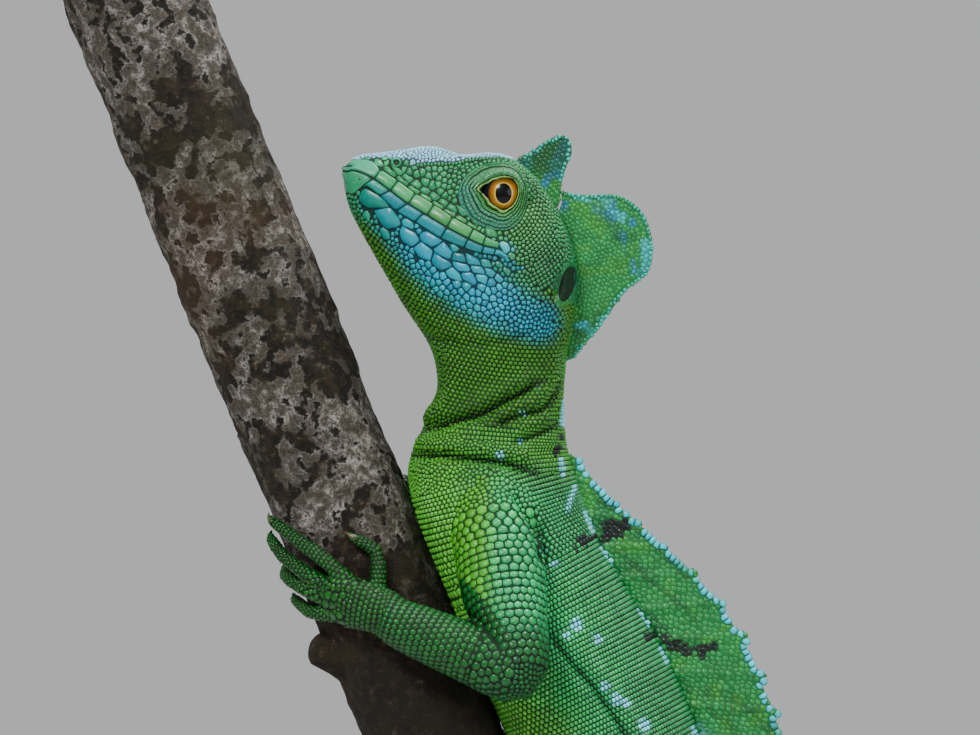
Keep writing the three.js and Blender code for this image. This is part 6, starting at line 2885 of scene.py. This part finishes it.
@dataclass
class Perch:
    """The cut length of branch, with rough bark, a knob and sawn ends."""

    sides: int = 120
    cuts: tuple[int, int] = (94, 2)
    swells: tuple[float, ...] = (0, 0.3, -0.1, 0.2, 0, -0.2, 0.1, 0.4, 0.2, 0)
    end_rings: int = 9
    knob_root: tuple[float, float, float] = (-25.4, -2.4, -47.4)
    knob_tip: tuple[float, float, float] = (-30.0, -4.0, -46.2)

    def build(self) -> bpy.types.Object:
        """Shapes the branch from a cylinder whose long edges are divided, and roughens its bark.

        Returns:
            The branch.
        """
        length = float(np.linalg.norm(PERCH_TOP - PERCH_END))
        select_none()
        bpy.ops.mesh.primitive_cylinder_add(
            vertices=self.sides, radius=PERCH_RADIUS * MM, depth=length * MM, end_fill_type="NOTHING"
        )
        branch = newest("perch_bark")
        for cuts in self.cuts:
            edit_upright_edges(branch)
            bpy.ops.mesh.subdivide(number_cuts=cuts)
            bpy.ops.object.mode_set(mode="OBJECT")
        bpy.ops.object.mode_set(mode="EDIT")
        self._close_ends(branch)
        bpy.ops.object.mode_set(mode="OBJECT")
        self._shape(branch, length)
        select_only(branch)
        bpy.ops.object.shade_smooth()
        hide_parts("perch_branch")
        return branch

    def _close_ends(self, branch: bpy.types.Object) -> None:
        """Closes both ends with rings of faces, drawn in step by step.

        Args:
            branch: The branch.
        """
        bpy.ops.mesh.select_mode(type="VERT")
        for height in (1, -1):
            bpy.ops.mesh.select_all(action="DESELECT")
            bpy.ops.object.mode_set(mode="OBJECT")
            top = max(v.co.z * height for v in branch.data.vertices)
            for vertex in branch.data.vertices:
                vertex.select = vertex.co.z * height > top - 1e-5
            bpy.ops.object.mode_set(mode="EDIT")
            for _ in range(self.end_rings):
                bpy.ops.mesh.extrude_edges_move(TRANSFORM_OT_translate={"value": (0, 0, 0)})
                bpy.ops.transform.resize(value=(0.86, 0.86, 1.0), center_override=(0, 0, top * height))
            bpy.ops.mesh.merge(type="CENTER")
        bpy.ops.mesh.select_all(action="SELECT")
        bpy.ops.mesh.normals_make_consistent(inside=False)

    def _shape(self, branch: bpy.types.Object, length: float) -> None:
        """Bends the bark into lumps, ridges and pits, adds the knob, and stands the branch in its place.

        Args:
            branch: The branch.
            length: Its length.
        """
        surface = Surface(branch)
        x, y, z = surface.points.T
        wide = np.hypot(x, y)
        turn = np.arctan2(y, x)
        end = np.abs(np.abs(z) - length / 2) < 0.02
        inner = end & (wide < PERCH_RADIUS * 0.985)
        swell = np.interp(z + length / 2, np.linspace(0, length, len(self.swells)), self.swells)
        rough = value_noise(surface.points, 7.0, 31) * 0.28 + value_noise(surface.points, 2.4, 32) * 0.26
        rough += value_noise(surface.points * np.array((1, 1, 0.6)), 1.1, 33) * 0.17
        rough += value_noise(surface.points, 0.55, 34) * 0.09
        radius = wide + np.where(inner, 0.0, swell + rough - 0.12) * (wide / PERCH_RADIUS)
        dish = np.where(end, value_noise(surface.points, 1.2, 35) * 0.12 - 0.05, 0.0)
        local = np.stack((np.cos(turn) * radius, np.sin(turn) * radius, z + dish * np.sign(z)), axis=1)
        middle = (PERCH_TOP + PERCH_END) / 2
        turned = local @ np.array((-PERCH_FRONT, (0.0, 1.0, 0.0), PERCH_AXIS))
        move_points(branch, place(self._knob(turned + middle)))
        keep_values(branch, "cut_end", end & (wide < PERCH_RADIUS * 0.93))
        keep_values(branch, "ring_reach", wide)

    def _knob(self, points: Array) -> Array:
        """Draws the bark out into the stub of a twig below the left hand.

        Args:
            points: Points of the bark, from the datum.

        Returns:
            The points with the stub.
        """
        root, tip = np.array(self.knob_root), np.array(self.knob_tip)
        axis = unit(tip - root)
        off = points - root
        along = off @ axis
        gap = np.linalg.norm(off - along[:, None] * axis, axis=1)
        pull = smoothstep(3.9, 2.2, gap) * (along > -4.0)
        reach = np.linalg.norm(tip - root) * (1 - 0.25 * (gap / 3.0) ** 2)
        return points + axis * (pull * np.clip(reach - along, 0, None) * 0.93)[:, None]


@dataclass
class Stand:
    """The plain display stand: an oiled board and two steel rods, each in a small collar."""

    bevel: float = 1.4
    collar: tuple[float, float] = (6.0, 5.0)

    def board(self) -> bpy.types.Object:
        """Makes the board with rounded corners and softened edges.

        Returns:
            The board.
        """
        low, high = (np.array(corner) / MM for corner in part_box("stand_base"))
        size, centre = high - low, (high + low) / 2
        select_none()
        bpy.ops.mesh.primitive_cube_add(size=1.0)
        board = newest("stand_board")
        board.scale = Vector(size * MM)
        board.location = Vector(centre * MM)
        bpy.ops.object.transform_apply(location=True, rotation=True, scale=True)
        edit_upright_edges(board)
        bpy.ops.mesh.bevel(offset=16 * MM, segments=14, affect="EDGES")
        bpy.ops.object.mode_set(mode="OBJECT")
        rounding = {"width": self.bevel * MM, "segments": 4, "limit_method": "ANGLE"}
        apply_modifier(board, "BEVEL", **rounding, angle_limit=math.radians(40))
        select_only(board)
        bpy.ops.object.shade_smooth_by_angle(angle=math.radians(35))
        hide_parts("stand_base")
        return board

    def _post(self, middle: Array, radius: float, low: float, high: float) -> bpy.types.Object:
        """Makes one upright cylinder between two heights.

        Args:
            middle: The middle of the rod.
            radius: The radius.
            low: The lower end.
            high: The upper end.

        Returns:
            The cylinder.
        """
        select_none()
        bpy.ops.mesh.primitive_cylinder_add(
            vertices=48, radius=radius * MM, depth=(high - low) * MM, end_fill_type="NGON"
        )
        post = bpy.context.object
        post.location = Vector(np.array((middle[0], middle[1], (high + low) / 2)) * MM)
        bpy.ops.object.transform_apply(location=True, rotation=True, scale=True)
        return post

    def rod(self, number: int, floor: float) -> bpy.types.Object:
        """Makes one rod with its collar.

        Args:
            number: Which rod.
            floor: The height of the board's top.

        Returns:
            The rod.
        """
        node = f"stand_rod_{number}"
        low, high = (np.array(corner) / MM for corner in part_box(node))
        middle = (low + high) / 2
        rod = self._post(middle, (high[1] - low[1]) / 2, floor, high[2])
        collar = self._post(middle, self.collar[0], floor, floor + self.collar[1])
        apply_modifier(collar, "BEVEL", width=0.8 * MM, segments=3, limit_method="ANGLE")
        select_only(rod, collar)
        bpy.ops.object.join()
        rod.name = rod.data.name = f"stand_rod_turned_{number}"
        bpy.ops.object.shade_smooth_by_angle(angle=math.radians(35))
        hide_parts(node)
        return rod


@dataclass
class Studio:
    """The pale floor, the soft lights and the long-lensed camera of the photograph's view."""

    frame_width: float = 161.7
    distance: float = 1200.0
    horizon: tuple[tuple[float, float], ...] = (
        (0.0, 0.06),
        (0.4, 0.08),
        (0.47, 0.5),
        (0.62, 0.5),
        (0.78, 0.22),
        (1.0, 0.18),
    )

    def camera(self) -> None:
        """Sets the camera level with the neck, square to the left side."""
        data = bpy.data.cameras.new("camera")
        data.sensor_width = 36.0
        data.lens = 36.0 * self.distance / self.frame_width
        data.clip_end = 50.0
        camera = bpy.data.objects.new("camera", data)
        camera.location = Vector((DATUM + (0, -self.distance, 0)) * MM)
        camera.rotation_euler = (math.pi / 2, 0, 0)
        bpy.context.scene.collection.objects.link(camera)
        bpy.context.scene.camera = camera

    def floor(self) -> None:
        """Lays the pale floor."""
        select_none()
        bpy.ops.mesh.primitive_plane_add(size=14.0, location=(0, 0, 0))
        floor = bpy.context.object
        floor.name = "studio_floor"
        build = Builder("studio_pale")
        floor.data.materials.append(build.finish(Base_Color=(0.72, 0.72, 0.7, 1.0), Roughness=0.85))

    def lights(self) -> None:
        """Hangs a broad key from the front left, a top light and a weak fill."""
        for name, spot, size, power in (
            ("key", (-0.6, -0.95, 1.35), 0.45, 24.0),
            ("top", (0.35, 0.1, 1.6), 0.7, 22.0),
            ("fill", (0.9, -1.0, 0.7), 0.9, 7.0),
        ):
            data = bpy.data.lights.new(name, "AREA")
            data.shape = "DISK"
            data.size = size
            data.energy = power
            light = bpy.data.objects.new(name, data)
            light.location = spot
            aim = Vector((0.0, 0.0, 0.43)) - light.location
            light.rotation_euler = aim.to_track_quat("-Z", "Y").to_euler()
            bpy.context.scene.collection.objects.link(light)

    def world(self) -> None:
        """Surrounds the model with a pale room, brightest at the height of the horizon."""
        world = bpy.data.worlds.new("studio_world")
        world.use_nodes = True
        tree = world.node_tree
        background = next(n for n in tree.nodes if n.type == "BACKGROUND")
        background.inputs["Strength"].default_value = 1.0
        where = tree.nodes.new("ShaderNodeTexCoord")
        split = tree.nodes.new("ShaderNodeSeparateXYZ")
        ramp = tree.nodes.new("ShaderNodeValToRGB")
        reach = tree.nodes.new("ShaderNodeMapRange")
        reach.inputs["From Min"].default_value = -1.0
        tree.links.new(where.outputs["Generated"], split.inputs[0])
        tree.links.new(split.outputs["Z"], reach.inputs["Value"])
        tree.links.new(reach.outputs[0], ramp.inputs["Fac"])
        tree.links.new(ramp.outputs["Color"], background.inputs["Color"])
        set_stops(ramp.color_ramp, [(at, (level, level * 1.01, level * 1.02)) for at, level in self.horizon])
        bpy.context.scene.world = world


def dress(obj: bpy.types.Object, material: bpy.types.Material) -> None:
    """Gives a piece its material and lets it ride on the model.

    Args:
        obj: The piece.
        material: The material.
    """
    obj.data.materials.clear()
    obj.data.materials.append(material)
    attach(obj, "root")
    LOG.info("%s: %d faces", obj.name, len(obj.data.polygons))


NODE_REGIONS = {
    "head": Region.HEAD,
    "neck": Region.NECK,
    "torso": Region.TORSO,
    "tail": Region.TAIL,
    "upper_arm": Region.ARM,
    "forearm": Region.ARM,
    "thigh": Region.LEG,
    "shin": Region.LEG,
    "hand": Region.HAND,
    "foot": Region.FOOT,
}
FILLING_SIZES = {Region.NECK: 0.3, Region.TORSO: 0.33, Region.TAIL: 0.45, Region.ARM: 0.42, Region.LEG: 0.45}


def region_of(points: Array, frame: dict[str, Any]) -> Array:
    """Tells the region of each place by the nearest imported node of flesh.

    Args:
        points: Places in the model's frame.
        frame: The loaded frame.

    Returns:
        The value of each place's Region.
    """
    best = np.full(len(points), 1e9)
    regions = np.zeros(len(points), dtype=int)
    for node in (*TRUNK_NODES, *LIMBS, *GRIP_NODES):
        kind = next(region for start, region in NODE_REGIONS.items() if node.startswith(start))
        low, high = (np.array(corner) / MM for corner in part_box(node))
        close = np.nonzero(((points > low - 3) & (points < high + 3)).all(axis=1))[0]
        if len(close) == 0:
            continue
        _, _, gaps = Surface(frame["nodes"][node]).nearest(points[close])
        nearer = gaps < best[close]
        best[close[nearer]] = gaps[nearer]
        regions[close[nearer]] = kind.value
    return regions


BODY_CLOSENESS = 0.72
CREST_CLOSENESS = 0.7
LARGE_SIZE = 0.43


def cover_body(frame: dict[str, Any], skin: Surface, markings: Markings) -> list[bpy.types.Object]:
    """Covers the whole body in scales.

    Args:
        frame: The loaded frame.
        skin: The skin.
        markings: The colours.

    Returns:
        The pieces.
    """
    fixed, plates, rings = Sites(), Sites(), Sites()
    head = HeadPlates(skin)
    head.anchors(fixed)
    head.shields(fixed)
    head.rows(plates)
    head.rings(plates)
    head.jaw_rows(plates)
    for run in build_runs():
        own = Surface(*(frame["nodes"][node] for node in run.nodes))
        ring_sites(run, skin, own, rings)
    ringed = rings.packed()
    above = ringed["points"][:, 2] - DATUM[2]
    forward = ringed["points"][:, 0] - DATUM[0]
    on_head = within(ringed["regions"], Region.NECK) & (above > 1.0 + 0.5 * (forward - 13.0))
    ringed = keep_only(ringed, ~on_head)
    joined = merge_sites(plates.packed(), ringed)
    joined = keep_only(joined, ~bare_on_head(joined["points"]))
    room = fixed.packed()
    joined = thin_out(merge_sites(room, joined), BODY_CLOSENESS, len(room["points"]))
    LOG.info("ordered scales: %d", len(joined["points"]))

    def sizes_at(points: Array) -> Array:
        """Gives the size of the small scales that fill what is bare."""
        regions = region_of(points, frame)
        sizes = head_size(points)
        for region, size in FILLING_SIZES.items():
            sizes[within(regions, region)] = size
        sizes[within(regions, Region.HAND, Region.FOOT)] = 0.36
        return sizes

    points, normals, sizes = GapFiller(skin).fill(joined, sizes_at, bare_on_head)
    LOG.info("filling scales: %d", len(points))
    filler = Sites()
    forward = repeat(BACK_AND_DOWN, len(points))
    regions = region_of(points, frame)
    large = (sizes > LARGE_SIZE) & within(regions, Region.HEAD)
    gripping = within(regions, Region.HAND, Region.FOOT)
    other = ~large & ~gripping
    for kind, style, stretch in ((large, MOSAIC, 1.2), (gripping, FINE, 1.0), (other, GRAIN, 1.0)):
        filler.add(points[kind], normals[kind], forward[kind], sizes[kind], style, regions[kind], stretch)
    everything = merge_sites(joined, filler.packed())
    coat = Coat(markings, skin)
    reaches = coat.reaches(everything)
    pieces = coat.lips(head)
    groups = {
        "scales_head": (Region.HEAD,),
        "scales_body": (Region.NECK, Region.TORSO),
        "scales_tail": (Region.TAIL,),
        "scales_limbs": (Region.ARM, Region.LEG, Region.HAND, Region.FOOT),
    }
    for name, wanted in groups.items():
        rows = within(everything["regions"], *wanted)
        pieces += coat.build(name, keep_only(everything, rows), reaches[rows])
    return pieces


def cover_crests(
    crests: Crests, membranes: list[bpy.types.Object], skin: Surface, markings: Markings
) -> list[bpy.types.Object]:
    """Covers the crests in scales.

    Args:
        crests: What sets their scales.
        membranes: The membranes.
        skin: The skin that they grow from.
        markings: The colours.

    Returns:
        The pieces.
    """
    pieces = []
    groups: dict[str, Sites] = {"head": Sites(), "back": Sites(), "tail": Sites()}
    surfaces = [Surface(membrane) for membrane in membranes]
    for membrane, surface in zip(membranes, surfaces):
        kind = membrane.name.split("_")[1]
        sites = groups[kind]
        others = [other for other in surfaces if other is not surface]
        crests.edge_sites(surface, skin, others, sites, 0.6 if kind == "head" else 1.1)
        if kind == "head":
            crests.lobe_sites(surface, sites)
        elif kind == "back":
            crests.ray_sites(surface, skin, Axis(TORSO_AXIS, 0.8), 0.95, sites)
        else:
            crests.ray_sites(surface, skin, Axis(TAIL_AXIS[:7], 0.95), 1.2, sites)
    for kind, sites in groups.items():
        packed = sites.packed()
        first = np.argsort(packed["styles"] != STYLES.index(EDGING), kind="stable")
        packed = thin_out(keep_only(packed, first), CREST_CLOSENESS)
        coat = Coat(markings, skin)
        pieces += coat.build(f"scales_{kind}_crest", packed, coat.reaches(packed))
    return pieces


def main(frame: dict[str, Any]) -> None:
    """Builds and dresses every piece.

    Args:
        frame: The loaded frame.
    """
    studio = Studio()
    studio.camera()
    studio.floor()
    studio.lights()
    studio.world()
    markings = Markings()
    # The skin between the scales is painted at a tenth of its colour, partly its own darker colour and partly
    # painted shade in the grooves.
    skin_finish = HideFinish("hide_between_scales", 0.1, 0.7, 0.0).make()
    fold_finish = HideFinish("hide_folds", 1.0, 0.42, 0.25, 2400.0).make()
    # The membranes under the crests' scales are painted darker, as painted shade between the scales.
    crest_finish = HideFinish("hide_membrane", 0.6, 0.5, 0.1).make()
    scale_finish = HideFinish("hide_scales", 1.0, 0.4, 0.22).make()
    skin_piece = Hide(frame).build()
    skin = Surface(skin_piece)
    paint_mesh(skin_piece, markings.paint(skin.points, region_of(skin.points, frame)))
    dress(skin_piece, skin_finish)
    for piece in cover_body(frame, skin, markings):
        dress(piece, scale_finish)
    plates = HeadPlates(skin)
    for side in Side:
        dress(Lids().build(side, plates, markings), fold_finish)
        for opening in OPENINGS:
            dress(opening.build(side, plates, markings), fold_finish)
    crests = Crests(frame)
    membranes = crests.build(skin)
    for membrane in membranes:
        surface = Surface(membrane)
        regions = np.full(len(surface.points), Region.CREST.value)
        paint_mesh(membrane, markings.paint(surface.points, regions))
        dress(membrane, crest_finish)
    for piece in cover_crests(crests, membranes, skin, markings):
        dress(piece, scale_finish)
    eyes = Eyes()
    for side in Side:
        finish = EyeFinish(f"eye_amber_{side.name.lower()}", eyes, tuple(eyes.centre(side)))
        dress(eyes.build(side), finish.make())
    horn = ClawFinish().make()
    claws = Claws()
    for region, side in GRIPS:
        dress(claws.build(region, side), horn)
    dress(Perch().build(), BarkFinish().make())
    stand = Stand()
    dress(stand.board(), BoardFinish().make())
    steel = SteelFinish().make()
    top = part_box("stand_base")[1][2] / MM
    for number in (1, 2):
        dress(stand.rod(number, top), steel)


if __name__ == "__main__":
    logging.basicConfig(level=logging.INFO, format="%(message)s")
    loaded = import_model()
    main(loaded)
